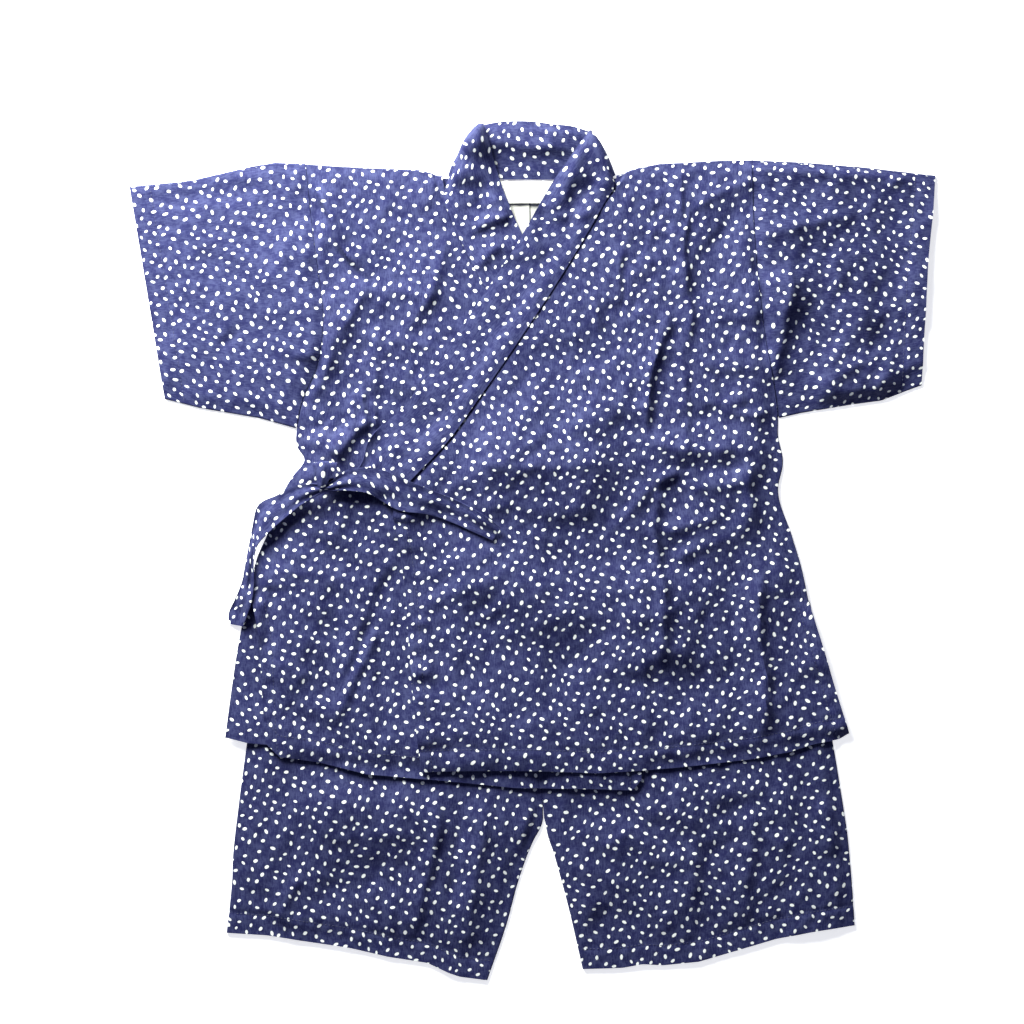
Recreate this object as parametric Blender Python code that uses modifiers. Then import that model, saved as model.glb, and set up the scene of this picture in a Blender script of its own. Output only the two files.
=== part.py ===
"""Child's jinbei set laid flat: a wrap jacket, tied at one side, on its shorts.

The cloth pieces are laid one on another, lowest first. Each piece is a sheet of points whose
height is read from the pile below it, then given the wall of its cloth. Sizes are in
millimetres, X to the wearer's left, Y towards the neck and Z up from the floor.
"""

import bpy
import bmesh
import numpy as np

MM = 0.001

# Cloth
CLOTH = 1.0            # wall of the jacket and the shorts
BAND_WALL = 1.6        # collar band and ties, two thicknesses of cloth
LABEL_WALL = 1.0
SEAM_GAP = 0.4         # between pieces that are sewn edge to edge
LAY_GAP = 0.45         # between a piece and the one that it lies on
FOLD_ROOM = 1.4        # inside a fold, between its two layers
FOLD_INSET = 0.5 * (FOLD_ROOM + CLOTH)

# Driving sizes
BOX_CENTRE = (0.0, -0.83, 0.0)     # middle of the laid set in the frame of the tables
SHORTS_BAND_HEIGHT = 25.0
SHORTS_BAND_LEFT, SHORTS_BAND_RIGHT = 150.0, -144.0
SHORTS_TOP = 30.0
CENTRE_BACK = -3.0     # centre-back seam
CENTRE_SHORTS = 8.5    # centre seam of the shorts

# Grid sizes: how many strips of faces each piece has
ARM_ROWS, SIDE_ROWS, SLIT_ROWS = 10, 7, 7
LEG_LOW_ROWS, LEG_HIGH_ROWS = 6, 11
SLEEVE_STRIPS = 8
NECK_STRIPS, FRONT_STRIPS, LEG_STRIPS = 5, 15, 11
TURN = 3               # points between the two layers of a fold

# Edges of the jacket: (station, x, y). Stations: 0 hem, 1 top of the side slit,
# 2 underarm, 3 shoulder fold.
SIDE_LEFT = (
    (1.00, 220, -40), (1.16, 215, -16), (1.35, 207, 11), (1.61, 196, 49), (1.75, 200, 70),
    (1.90, 196, 92), (2.00, 196, 106), (2.15, 192, 136), (2.30, 186, 168), (2.63, 178, 236),
    (2.83, 176, 276), (3.00, 175, 311),
)
SIDE_RIGHT = (
    (1.00, -225, -34), (1.18, -221, -10), (1.36, -211, 14), (1.56, -202, 40), (1.70, -192, 58),
    (1.80, -182, 72), (1.89, -188, 83), (2.00, -188, 98), (2.11, -183, 121), (2.22, -173, 144),
    (2.43, -167, 188), (2.59, -171, 222), (2.77, -176, 259), (3.00, -181, 308),
)
SLIT_FRONT_LEFT = ((0.00, 253, -146), (0.36, 243, -115), (0.74, 230, -72), (1.00, 220, -40))
SLIT_BACK_LEFT = ((0.00, 248, -138), (0.74, 226, -72), (1.00, 220, -40))
SLIT_FRONT_RIGHT = ((0.00, -213, -154), (0.33, -216, -112), (0.67, -218, -72), (1.00, -225, -34))
SLIT_BACK_RIGHT = ((0.00, -244, -150), (0.38, -238, -104), (0.68, -233, -72), (1.00, -225, -34))
EDGE_FRONT_LEFT = (
    (0.00, -89, -177), (0.41, -95, -120), (0.74, -99, -72), (1.00, -101, -40), (1.37, -108, 12),
    (1.50, -111, 30), (1.62, -103, 42), (1.80, -80, 70), (2.10, -40, 123), (2.33, -9, 170),
    (2.57, 22, 217), (2.80, 49, 263), (3.00, 67, 298),
)
EDGE_FRONT_RIGHT = (
    (0.00, 87, -183), (0.33, 86, -120), (0.70, 85, -72), (1.00, 84, -34), (1.40, 80, 16),
    (1.62, 75, 44), (1.85, 54, 75), (2.00, 40, 96), (2.15, 17, 130), (2.38, -15, 178),
    (2.57, -40, 214), (2.75, -58, 248), (2.92, -70, 282), (3.00, -72, 298),
)
CENTRE_BACK_HEIGHTS = ((0.00, -166), (1.00, -38), (2.00, 100), (3.00, 295))
# Ends of the jacket's panels: (x, y) along the hems, and along the neckline and shoulder fold
HEM_FRONT_LEFT = (
    (-89, -177), (-53, -176), (0, -176), (51, -178), (86, -176), (112, -174), (174, -167),
    (206, -161), (224, -155), (245, -151), (253, -146),
)
HEM_FRONT_RIGHT = (
    (-213, -154), (-202, -165), (-172, -169), (-132, -179), (-73, -184), (-13, -190), (53, -191),
    (80, -192), (87, -183),
)
HEM_BACK_LEFT = ((CENTRE_BACK, -166), (120, -158), (248, -138))
HEM_BACK_RIGHT = ((-244, -150), (-228, -154), (-180, -158), (CENTRE_BACK, -166))
TOP_LEFT = (
    (CENTRE_BACK, 295), (44, 296), (67, 298), (82, 304), (102, 308), (120, 309), (151, 311), (175, 311),
)
TOP_RIGHT = ((-181, 308), (-134, 305), (-91, 303), (-72, 298), (-50, 296), (CENTRE_BACK, 295))

# Sleeves: cuffs by station, and the (x, y) of their top and underarm edges
CUFF_LEFT = ((2.00, 311, 132), (2.36, 314, 192), (2.60, 316, 232), (2.83, 320, 272), (3.00, 322, 299))
CUFF_RIGHT = ((2.00, -294, 121), (3.00, -322, 290))
SLEEVE_TOP_LEFT = ((175, 311), (215, 309), (266, 305), (322, 299))
SLEEVE_TOP_RIGHT = ((-322, 290), (-272, 295), (-224, 306), (-206, 309), (-181, 308))
UNDERARM_LEFT = ((196, 106), (214, 110), (254, 117), (278, 120), (311, 132))
UNDERARM_RIGHT = ((-294, 121), (-266, 114), (-218, 106), (-188, 98))

# The cut of each side, +1 or -1 being the way it lies from the centre
SIDES = {
    "left": {
        "away": 1, "neck": 67, "side": SIDE_LEFT, "top": TOP_LEFT, "front_edge": EDGE_FRONT_LEFT,
        "front_slit": SLIT_FRONT_LEFT, "front_hem": HEM_FRONT_LEFT,
        "back_slit": SLIT_BACK_LEFT, "back_hem": HEM_BACK_LEFT,
        "cuff": CUFF_LEFT, "sleeve_top": SLEEVE_TOP_LEFT, "underarm": UNDERARM_LEFT,
    },
    "right": {
        "away": -1, "neck": -72, "side": SIDE_RIGHT, "top": TOP_RIGHT, "front_edge": EDGE_FRONT_RIGHT,
        "front_slit": SLIT_FRONT_RIGHT, "front_hem": HEM_FRONT_RIGHT,
        "back_slit": SLIT_BACK_RIGHT, "back_hem": HEM_BACK_RIGHT,
        "cuff": CUFF_RIGHT, "sleeve_top": SLEEVE_TOP_RIGHT, "underarm": UNDERARM_RIGHT,
    },
}

# Shorts: stations 0 hem, 1 crotch, 2 waist seam
LEG_OUTER_LEFT = (
    (0.00, 257, -300), (0.39, 255, -268), (0.73, 252, -234), (1.00, 249, -212), (1.24, 240, -156),
    (1.46, 230, -104), (1.75, 211, -32), (1.93, 176, 12), (2.00, 157, 30),
)
LEG_OUTER_RIGHT = (
    (0.00, -244, -306), (0.44, -240, -268), (1.00, -236, -216), (1.24, -228, -156),
    (1.46, -220, -104), (1.75, -198, -32), (1.93, -168, 12), (2.00, -152, 30),
)
LEG_INNER_LEFT = (
    (0.00, 40, -335), (0.44, 29, -284), (0.78, 20, -244), (1.00, 12, -218), (1.08, 9, -200),
    (1.24, CENTRE_SHORTS, -156), (1.75, CENTRE_SHORTS, -32), (2.00, CENTRE_SHORTS, 30),
)
LEG_INNER_RIGHT = (
    (0.00, -36, -343), (0.37, -20, -297), (0.63, -11, -264), (0.89, 1, -232), (1.00, 8, -218),
    (1.24, CENTRE_SHORTS, -156), (1.75, CENTRE_SHORTS, -32), (2.00, CENTRE_SHORTS, 30),
)
HEM_LEG_LEFT = (
    (40, -335), (72, -334), (88, -331), (104, -332), (133, -329), (157, -322), (194, -311),
    (224, -305), (257, -300),
)
HEM_LEG_RIGHT = (
    (-244, -306), (-212, -308), (-180, -313), (-146, -318), (-116, -325), (-84, -330),
    (-67, -338), (-58, -341), (-36, -344),
)

LEGS = {
    "left": {"away": 1, "inner": LEG_INNER_LEFT, "outer": LEG_OUTER_LEFT, "hem": HEM_LEG_LEFT},
    "right": {"away": -1, "inner": LEG_INNER_RIGHT, "outer": LEG_OUTER_RIGHT, "hem": HEM_LEG_RIGHT},
}

# Collar band: (x, y) of its free edge, then of its seam edge, for each row along it
BAND_OVER = (
    (-157, 56, -149, 45), (-141, 70, -127, 38), (-124, 86, -104, 44), (-104, 111, -68, 86),
    (-84, 140, -47, 115), (-45, 195, -9, 170), (-8, 252, 28, 227), (5, 275, 46, 257),
    (19, 298, 59, 280), (32, 316, 65, 290), (45, 334, 64, 298),
)
BAND_BACK = (
    (45, 334, 64, 298.8), (32, 338, 42, 296.6), (14, 340, 19, 296), (-2, 342, -2, 296),
    (-20, 342, -26, 296), (-30, 341, -47, 296.6), (-39, 339, -66, 298.8),
)
BAND_UNDER = (
    (-39, 339, -66, 298), (-34, 322, -69, 290), (-27, 298, -70, 278), (-18, 274, -62, 257),
    (-8, 252, -49, 230), (7, 227, -32, 200), (22, 203, -15, 178), (54, 155, 17, 130),
    (86, 107, 49, 82), (112, 69, 75, 44),
)
BAND_ROWS = {"over": 24, "back": 9, "under": 19}
BAND_STRIPS = 4

# Ties: (x, y) of one edge, then of the other, and the height over what lies below
TIE_OVER = (
    (-166, 50, -164, 45, 1.7), (-158, 53, -157, 43, 1.7), (-148, 64, -146, 45, 1.4),
    (-131, 64, -128, 43, 0.9), (-120, 62, -119, 36, 0.5), (-101, 55, -108, 31, 0.5),
    (-76, 45, -79, 27, 0.5), (-59, 39, -62, 22, 0.5), (-39, 27, -46, 14, 0.5), (-25, 17, -32, 8, 0.5),
)
TIE_SIDE = (
    (-170, 51, -168, 46, 3.7), (-178, 53, -175, 43, 3.7), (-190, 51, -184, 36, 3.2),
    (-203, 44, -194, 28, 2.5), (-220, 34, -211, 13, 2.5), (-224, 16, -217, 4, 2.5),
    (-228, -6, -222, -10, 2.5), (-232, -26, -225, -27, 1.5), (-238, -40, -228, -42, 0.5),
    (-243, -51, -231, -54, 0.5), (-243, -59, -233, -60, 0.5),
)
TIE_STRIPS = 3

# Knot: a wrap of the tie round both tails
KNOT_X, KNOT_Y = -168.0, 48.0
KNOT_LENGTH, KNOT_WIDTH, KNOT_HEIGHT = 13.0, 20.0, 7.2
KNOT_WALL = 1.2
KNOT_SIDES = 16

# Labels: left, right, bottom, top
CARE_LABELS = {"care_label_left": (-2.6, 20, 244, 292), "care_label_right": (-27, -3.4, 246, 292)}
NECK_LABEL = (-29, 22, 277, 294.5)

# Largest folds of each panel: a soft ridge from one point to the next (x, y, x, y),
# its height and half its width
FOLDS = {
    "front_left": (
        (150, 288, 108, 200, 4.0, 26), (90, 165, 92, -100, 3.0, 24), (166, 40, 180, -80, 3.5, 24),
        (-60, 66, 160, 68, 4.0, 52),
    ),
    "front_right": (
        (-173, 278, -132, 216, 4.0, 24), (-132, 216, -150, 168, 4.0, 24),
        (-118, -16, -150, -112, 4.0, 22),
    ),
    "sleeve_left": ((206, 240, 200, 130, 4.0, 22), (250, 270, 262, 170, 3.0, 24)),
    "sleeve_right": ((-230, 270, -236, 150, 2.5, 26),),
    "leg_left": ((80, -215, 130, -300, 3.0, 24),),
    "leg_right": ((-46, -200, -34, -280, 4.0, 22), (-186, -200, -74, -206, 3.0, 24)),
}

COLOURS = {
    "navy": (0.045, 0.055, 0.155, 1.0),
    "label": (0.86, 0.86, 0.84, 1.0),
}

# Map of the pile: the height of the cloth laid so far, in square cells
CELL = 2.0
HALF_MAP = np.array((350.0, 370.0))
MAP_SHAPE = (2 * HALF_MAP / CELL).astype(int) + 1
pile = np.zeros(MAP_SHAPE)


# ---------------------------------------------------------------- the pile

def highest(height, steps):
    """Largest height within a number of cells, along one axis and then the other."""
    for axis in (0, 1):
        ways = [np.roll(height, step, axis) for step in range(-steps, steps + 1)]
        height = np.max(ways, axis=0)
    return height


def eased(height, steps):
    """Mean height within a number of cells, along one axis and then the other."""
    for axis in (0, 1):
        ways = [np.roll(height, step, axis) for step in range(-steps, steps + 1)]
        height = np.mean(ways, axis=0)
    return height


def rest(xy, gap, reach=16.0, ease=10.0):
    """Height at which the underside of a sheet comes to rest over the pile."""
    ease_steps = int(round(ease / CELL))
    reach_steps = int(round(reach / CELL)) + ease_steps
    field = eased(highest(pile, reach_steps), ease_steps)
    where = (xy + HALF_MAP) / CELL
    low = np.clip(np.floor(where).astype(int), 0, MAP_SHAPE - 2)
    part = where - low
    i, j = low[..., 0], low[..., 1]
    a, b = part[..., 0], part[..., 1]
    height = (field[i, j] * (1 - a) * (1 - b) + field[i + 1, j] * a * (1 - b)
              + field[i, j + 1] * (1 - a) * b + field[i + 1, j + 1] * a * b)
    return height + gap * np.clip(height, 0, 1)


def divided(points, pieces, axis):
    """The same sheet with each strip cut into a number of narrower ones."""
    points = np.moveaxis(points, axis, 0)
    step = np.linspace(0, 1, pieces, endpoint=False).reshape(-1, *([1] * (points.ndim - 1)))
    strips = [a + (b - a) * step for a, b in zip(points[:-1], points[1:])]
    return np.moveaxis(np.concatenate(strips + [points[-1:]]), 0, axis)


def lay(points, wall):
    """Raises the pile to the top of a sheet."""
    for axis in (0, 1):
        longest = np.linalg.norm(np.diff(points[..., :2], axis=axis), axis=-1).max()
        points = divided(points, int(longest / (0.6 * CELL)) + 1, axis)
    cell = np.rint((points[..., :2] + HALF_MAP) / CELL).astype(int)
    np.maximum.at(pile, (cell[..., 0], cell[..., 1]), points[..., 2] + wall / 2)


# ---------------------------------------------------------------- curves

def spline(table, at):
    """Smooth curve through a table whose first column is the position along it."""
    table = np.asarray(table, dtype=float)
    knots, values = table[:, 0], table[:, 1:]
    slope = np.gradient(values, knots, axis=0)
    i = np.clip(np.searchsorted(knots, at, side="right") - 1, 0, len(knots) - 2)
    span = (knots[i + 1] - knots[i])[:, None]
    t = ((at - knots[i]) / span[:, 0])[:, None]
    return ((2 * t**3 - 3 * t**2 + 1) * values[i] + (t**3 - 2 * t**2 + t) * span * slope[i]
            + (3 * t**2 - 2 * t**3) * values[i + 1] + (t**3 - t**2) * span * slope[i + 1])


def along(table, count):
    """Rows spaced evenly along a table of points."""
    table = np.asarray(table, dtype=float)
    middle = (table[:, 0:2] + table[:, 2:4]) / 2
    length = np.concatenate(([0], np.cumsum(np.linalg.norm(np.diff(middle, axis=0), axis=1))))
    return spline(np.column_stack((length, table)), np.linspace(0, length[-1], count))


def smooth(value):
    """Eases from 0 to 1 as the value does."""
    value = np.clip(value, 0, 1)
    return value * value * (3 - 2 * value)


def fold_height(xy, piece):
    """Height of a panel's largest folds: a rounded ridge about each line, fading at its ends."""
    total = np.zeros(xy.shape[:-1])
    for x0, y0, x1, y1, height, half_width in FOLDS[piece]:
        start, run = np.array((x0, y0)), np.array((x1 - x0, y1 - y0))
        t = ((xy - start) @ run) / (run @ run)
        away = np.linalg.norm(xy - start - np.clip(t, 0, 1)[..., None] * run, axis=-1)
        total = np.maximum(total, height * smooth(1 - away / half_width))
    return total


def panel(inner, outer, across):
    """Straight rows from the inner to the outer edge, with points at shares of the way."""
    return inner[:, None] + (outer - inner)[:, None] * across[None, :, None]


def bend_end(xy, end_row, line, weight):
    """Moves the rows near an end so that the end row follows a line of (x, y)."""
    line = np.asarray(sorted(line), dtype=float)
    change = np.interp(xy[end_row, :, 0], line[:, 0], line[:, 1]) - xy[end_row, :, 1]
    xy[..., 1] += weight[:, None] * change[None, :]
    return xy


def raised(xy, z):
    return np.concatenate((xy, np.broadcast_to(z, xy.shape[:-1])[..., None]), axis=-1)


def turned_edge(layer, other, away, closed):
    """Two more columns past a layer's edge: down half a fold where closed, else flat."""
    edge, far = layer[:, -1], other[:, -1]
    radius = (edge[:, 2] - far[:, 2]) / 2
    columns = []
    for angle in (np.pi / 4, np.pi / 2):
        round_point, flat_point = edge.copy(), edge.copy()
        round_point[:, 0] += away * FOLD_INSET * np.sin(angle)
        round_point[:, 2] -= radius * (1 - np.cos(angle))
        flat_point[:, 0] += away * FOLD_INSET * angle / (np.pi / 2)
        columns.append(np.where(closed[:, None], round_point, flat_point))
    return np.stack(columns, axis=1)


def fold_rows(first, second, outward):
    """Rows of a half circle that joins the ends of two layers."""
    centre, half = (first + second) / 2, (first - second) / 2
    radius = np.linalg.norm(half, axis=-1, keepdims=True)
    rows = []
    for angle in np.pi * np.arange(1, TURN + 1) / (TURN + 1):
        rows.append(centre + half * np.cos(angle) + raised(outward, 0) * radius * np.sin(angle))
    return np.stack(rows)


def unit(vectors):
    return vectors / np.linalg.norm(vectors, axis=-1, keepdims=True)


# ---------------------------------------------------------------- objects

def fresh_scene():
    for item in list(bpy.data.objects):
        bpy.data.objects.remove(item, do_unlink=True)
    collection = bpy.data.collections.new("jinbei_set")
    bpy.context.scene.collection.children.link(collection)
    return collection


def cloth_material(name, colour):
    material = bpy.data.materials.new(name)
    material.use_nodes = True
    shader = material.node_tree.nodes["Principled BSDF"]
    shader.inputs["Base Color"].default_value = colour
    shader.inputs["Roughness"].default_value = 0.85
    shader.inputs["Metallic"].default_value = 0.0
    return material


def add_sheet(name, grids, wall, colour="navy"):
    """Grids moved to their points and joined where their edges meet, with a wall."""
    form = bmesh.new()
    for points in grids:
        rows, columns = points.shape[:2]
        made = bmesh.ops.create_grid(form, x_segments=columns - 1, y_segments=rows - 1, size=1)
        places = (points.reshape(-1, 3) - BOX_CENTRE) * MM
        for vertex, place in zip(made["verts"], places):
            vertex.co = place
    bmesh.ops.remove_doubles(form, verts=form.verts, dist=0.00001)
    mesh = bpy.data.meshes.new(name)
    form.to_mesh(mesh)
    form.free()
    mesh.shade_smooth()
    mesh.materials.append(cloth_material(name, COLOURS[colour]))
    item = bpy.data.objects.new(name, mesh)
    bpy.data.collections["jinbei_set"].objects.link(item)
    solid = item.modifiers.new("wall", "SOLIDIFY")
    solid.thickness = wall * MM
    solid.offset = 0.0
    return item


# ---------------------------------------------------------------- shorts

def leg(side):
    """A trouser leg: a flat tube below the crotch, open at the centre seam above it."""
    cut = LEGS[side]
    away = cut["away"]
    low = np.linspace(0, 1, LEG_LOW_ROWS + 1)
    station = np.concatenate((low, np.linspace(1, 2, LEG_HIGH_ROWS + 1)[1:]))
    inner, outer = spline(cut["inner"], station), spline(cut["outer"], station)
    closed = station <= 1
    clear = np.maximum(away * (inner[:, 0] - CENTRE_SHORTS), 0) + closed * CLOTH / 2
    inner[:, 0] = CENTRE_SHORTS + away * (clear + SEAM_GAP / 2 + FOLD_INSET)
    outer[:, 0] -= away * FOLD_INSET
    across = np.linspace(0, 1, LEG_STRIPS + 1)
    xy = panel(inner, outer, across)
    xy = bend_end(xy, 0, cut["hem"], np.clip(1 - station, 0, 1) ** 2)
    back = raised(xy, CLOTH / 2)
    lay(back, CLOTH)
    edge = smooth(across * 5) * smooth((1 - across) * 5)
    front = raised(xy, CLOTH * 1.5 + FOLD_ROOM + fold_height(xy, "leg_" + side) * edge)
    lay(front, CLOTH)
    outward = np.tile((away, 0.0), (len(station), 1))
    side_fold = np.moveaxis(fold_rows(front[:, -1], back[:, -1], outward), 0, 1)
    front_turn = turned_edge(front[:, ::-1], back[:, ::-1], -away, closed)[:, ::-1]
    back_turn = turned_edge(back[:, ::-1], front[:, ::-1], -away, closed)
    ring = np.concatenate((front_turn, front, side_fold, back[:, ::-1], back_turn), axis=1)
    return add_sheet("leg_" + side, (ring,), CLOTH)


def shorts_band():
    """The gathered waistband: a flat ring that waves along its length."""
    gathers, points_each = 12, 4
    count = gathers * points_each
    x = np.linspace(SHORTS_BAND_RIGHT, SHORTS_BAND_LEFT, count + 1)
    y = np.linspace(SHORTS_TOP + SEAM_GAP, SHORTS_TOP + SHORTS_BAND_HEIGHT, 3)
    xy = np.stack(np.meshgrid(x, y), axis=-1)
    wave = 0.5 * (1 - np.cos(2 * np.pi * gathers * np.linspace(0, 1, count + 1)))
    back = raised(xy, CLOTH / 2)
    front = raised(xy, CLOTH * 1.5 + FOLD_ROOM + 1.2 * wave[None, :])
    lay(front, CLOTH)
    right, left = np.array((-1.0, 0.0)), np.array((1.0, 0.0))
    left_turn = np.moveaxis(fold_rows(front[:, -1], back[:, -1], np.tile(left, (3, 1))), 0, 1)
    right_turn = np.moveaxis(fold_rows(back[:, 0], front[:, 0], np.tile(right, (3, 1))), 0, 1)
    ring = np.concatenate((front, left_turn, back[:, ::-1], right_turn, front[:, :1]), axis=1)
    return add_sheet("waistband", (ring,), CLOTH)


# ---------------------------------------------------------------- jacket

def body_stations():
    slit = np.linspace(0, 1, SLIT_ROWS + 1)
    side = np.linspace(1, 2, SIDE_ROWS + 1)[1:]
    arm = np.linspace(2, 3, ARM_ROWS + 1)[1:]
    return np.concatenate((slit, side, arm))


def body_outline(cut, layer, inner, across):
    """Rows of one half of the jacket's back or front, from its hem up to its top edge."""
    station = body_stations()
    outer = spline(cut["side"], np.maximum(station, 1))
    below = station < 1
    outer[below] = spline(cut[layer + "_slit"], station[below])
    outer[:, 0] -= cut["away"] * FOLD_INSET
    xy = panel(inner, outer, across)
    xy = bend_end(xy, 0, cut[layer + "_hem"], np.clip(1 - station, 0, 1) ** 2)
    xy = bend_end(xy, -1, cut["top"], np.clip((station - 2.3) / 0.7, 0, 1) ** 2)
    past_neck = cut["away"] * (xy[-1, :, 0] - cut["neck"])
    xy[-1, :, 1] -= FOLD_INSET * smooth(past_neck / 20 + 1)
    return xy


def back_half(side):
    """A back, whose top row runs along the neckline and then the shoulder fold."""
    cut = SIDES[side]
    station = body_stations()
    centre = CENTRE_BACK + cut["away"] * SEAM_GAP / 2
    height = np.interp(station, *np.transpose(CENTRE_BACK_HEIGHTS))
    inner = np.column_stack((np.full(len(station), centre), height))
    shoulder_end = cut["side"][-1][1] - cut["away"] * FOLD_INSET
    share = (cut["neck"] - centre) / (shoulder_end - centre)
    across = np.concatenate((np.linspace(0, share, NECK_STRIPS + 1)[:-1],
                             np.linspace(share, 1, FRONT_STRIPS + 1)))
    xy = body_outline(cut, "back", inner, across)
    half = raised(xy, rest(xy, LAY_GAP) + CLOTH / 2)
    lay(half, CLOTH)
    return half


def front_half(side):
    """A front, which rests on all that lies inside the jacket."""
    cut = SIDES[side]
    inner = spline(cut["front_edge"], body_stations())
    across = np.linspace(0, 1, FRONT_STRIPS + 1)
    xy = body_outline(cut, "front", inner, across)
    station = body_stations()[:, None]
    near_fold = np.maximum(smooth((station - 2.7) / 0.3), smooth((across - 0.8) / 0.2))
    gap = LAY_GAP + (FOLD_ROOM - LAY_GAP) * near_fold
    flat_edge = smooth(across * 6) * smooth((1 - across) * 6) * smooth((3 - station) * 6)
    folds = fold_height(xy, "front_" + side) * flat_edge
    half = raised(xy, rest(xy, gap) + CLOTH / 2 + folds)
    lay(half, CLOTH)
    return half


def join_body(side, back, front):
    """Back and front in one: folded at the shoulder, sewn down the side to the slit."""
    station, away = body_stations(), SIDES[side]["away"]
    closed = (station >= 1) & (station <= 2)
    back_turn = turned_edge(back, front, away, closed)
    front_turn = turned_edge(front, back, away, closed)
    back = np.concatenate((back, back_turn), axis=1)
    front = np.concatenate((front, front_turn), axis=1)
    back_shoulder = back[-1, NECK_STRIPS:]
    up = np.tile((0.0, 1.0), (len(back_shoulder), 1))
    fold = fold_rows(back_shoulder, front[-1], up)
    over_shoulder = np.concatenate((back_shoulder[None], fold, front[::-1]))
    return add_sheet("body_" + side, (back, over_shoulder), CLOTH)


def sleeve(side):
    """A flat tube from the armhole to the cuff, open at both ends."""
    cut = SIDES[side]
    station = np.linspace(2, 3, ARM_ROWS + 1)
    armhole, cuff = spline(cut["side"], station), spline(cut["cuff"], station)
    beside_seam = SEAM_GAP + 0.5 * CLOTH * np.clip((2.2 - station) / 0.1, 0, 1)
    armhole[:, 0] += cut["away"] * beside_seam
    across = np.linspace(0, 1, SLEEVE_STRIPS + 1)
    xy = panel(armhole, cuff, across)
    xy = bend_end(xy, -1, cut["sleeve_top"], smooth((station - 2.5) * 2))
    xy = bend_end(xy, 0, cut["underarm"], smooth((2.5 - station) * 2))
    xy[-1, :, 1] -= FOLD_INSET
    xy[0, :, 1] += FOLD_INSET
    back = raised(xy, CLOTH / 2)
    edge = smooth((station - 2) * 5) * smooth((3 - station) * 5)
    ends = smooth(across * 6) * smooth((1.15 - across) * 5)
    folds = fold_height(xy, "sleeve_" + side) * edge[:, None] * ends
    front = raised(xy, CLOTH * 1.5 + FOLD_ROOM + folds)
    up = np.tile((0.0, 1.0), (SLEEVE_STRIPS + 1, 1))
    under = fold_rows(front[0], back[0], -up)
    over = fold_rows(back[-1], front[-1], up)
    ring = np.concatenate((front[::-1], under, back, over, front[-1:]))
    return add_sheet("sleeve_" + side, (ring,), CLOTH)


# ---------------------------------------------------------------- collar, labels and ties

def band_stretch(table, count, gap):
    """A stretch of the band on the pile: rows along it, points from free to seam edge."""
    rows = along(table, count)
    across = np.linspace(0, 1, BAND_STRIPS + 1)[None, :, None]
    xy = rows[:, None, 0:2] + (rows[:, None, 2:4] - rows[:, None, 0:2]) * across
    stretch = raised(xy, rest(xy, gap, reach=12, ease=8) + BAND_WALL / 2)
    lay(stretch, BAND_WALL)
    return stretch


def band_fold(low, high, inside):
    """The turn at a neck side, about the line where the two stretches meet."""
    line = unit(low[-1, :2] - low[0, :2])
    outward = np.array((-line[1], line[0]))
    if outward @ (low[:, :2].mean(axis=0) - inside) < 0:
        outward = -outward
    return fold_rows(low, high, np.tile(outward, (len(low), 1)))


def collar(under, back, over):
    neck = back[..., :2].mean(axis=(0, 1))
    left_fold = band_fold(back[0], over[-1], neck)[::-1]
    right_fold = band_fold(back[-1], under[0], neck)
    strip = np.concatenate((over, left_fold, back, right_fold, under))
    return add_sheet("collar_band", (strip,), BAND_WALL)


def label(name, left, right, bottom, top):
    xy = np.stack(np.meshgrid(np.linspace(left, right, 4), np.linspace(bottom, top, 5)), axis=-1)
    sheet = raised(xy, rest(xy, LAY_GAP, reach=6, ease=4) + LABEL_WALL / 2)
    lay(sheet, LABEL_WALL)
    return add_sheet(name, (sheet,), LABEL_WALL, "label")


def tie(name, table, count, knot_base):
    """A tie over the pile, at the height of the knot where it runs through it."""
    rows = along(table, count)
    across = np.linspace(0, 1, TIE_STRIPS + 1)[None, :, None]
    xy = rows[:, None, 0:2] + (rows[:, None, 2:4] - rows[:, None, 0:2]) * across
    away = np.linalg.norm(xy - np.array((KNOT_X, KNOT_Y)), axis=-1)
    near = smooth((30 - away) / 20)
    below = rest(xy, 0, reach=10, ease=8) * (1 - near) + knot_base * near
    return add_sheet(name, (raised(xy, below + rows[:, 4:5] + BAND_WALL / 2),), BAND_WALL)


def knot(base):
    """A wrap round the tails: a flat ring about an axis along X."""
    angle = 2 * np.pi * np.arange(KNOT_SIDES + 1) / KNOT_SIDES
    angle[-1] = 0
    half_width, half_height = (KNOT_WIDTH - KNOT_WALL) / 2, (KNOT_HEIGHT - KNOT_WALL) / 2
    y = KNOT_Y + half_width * np.sign(np.cos(angle)) * np.abs(np.cos(angle)) ** 0.7
    z = base + KNOT_HEIGHT / 2 + half_height * np.sign(np.sin(angle)) * np.abs(np.sin(angle)) ** 0.7
    x = KNOT_X + np.linspace(-0.5, 0.5, 3) * KNOT_LENGTH
    ring = np.stack([np.column_stack((np.full_like(y, place), y, z)) for place in x], axis=1)
    return add_sheet("tie_knot", (ring,), KNOT_WALL)


# ---------------------------------------------------------------- the set

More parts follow.
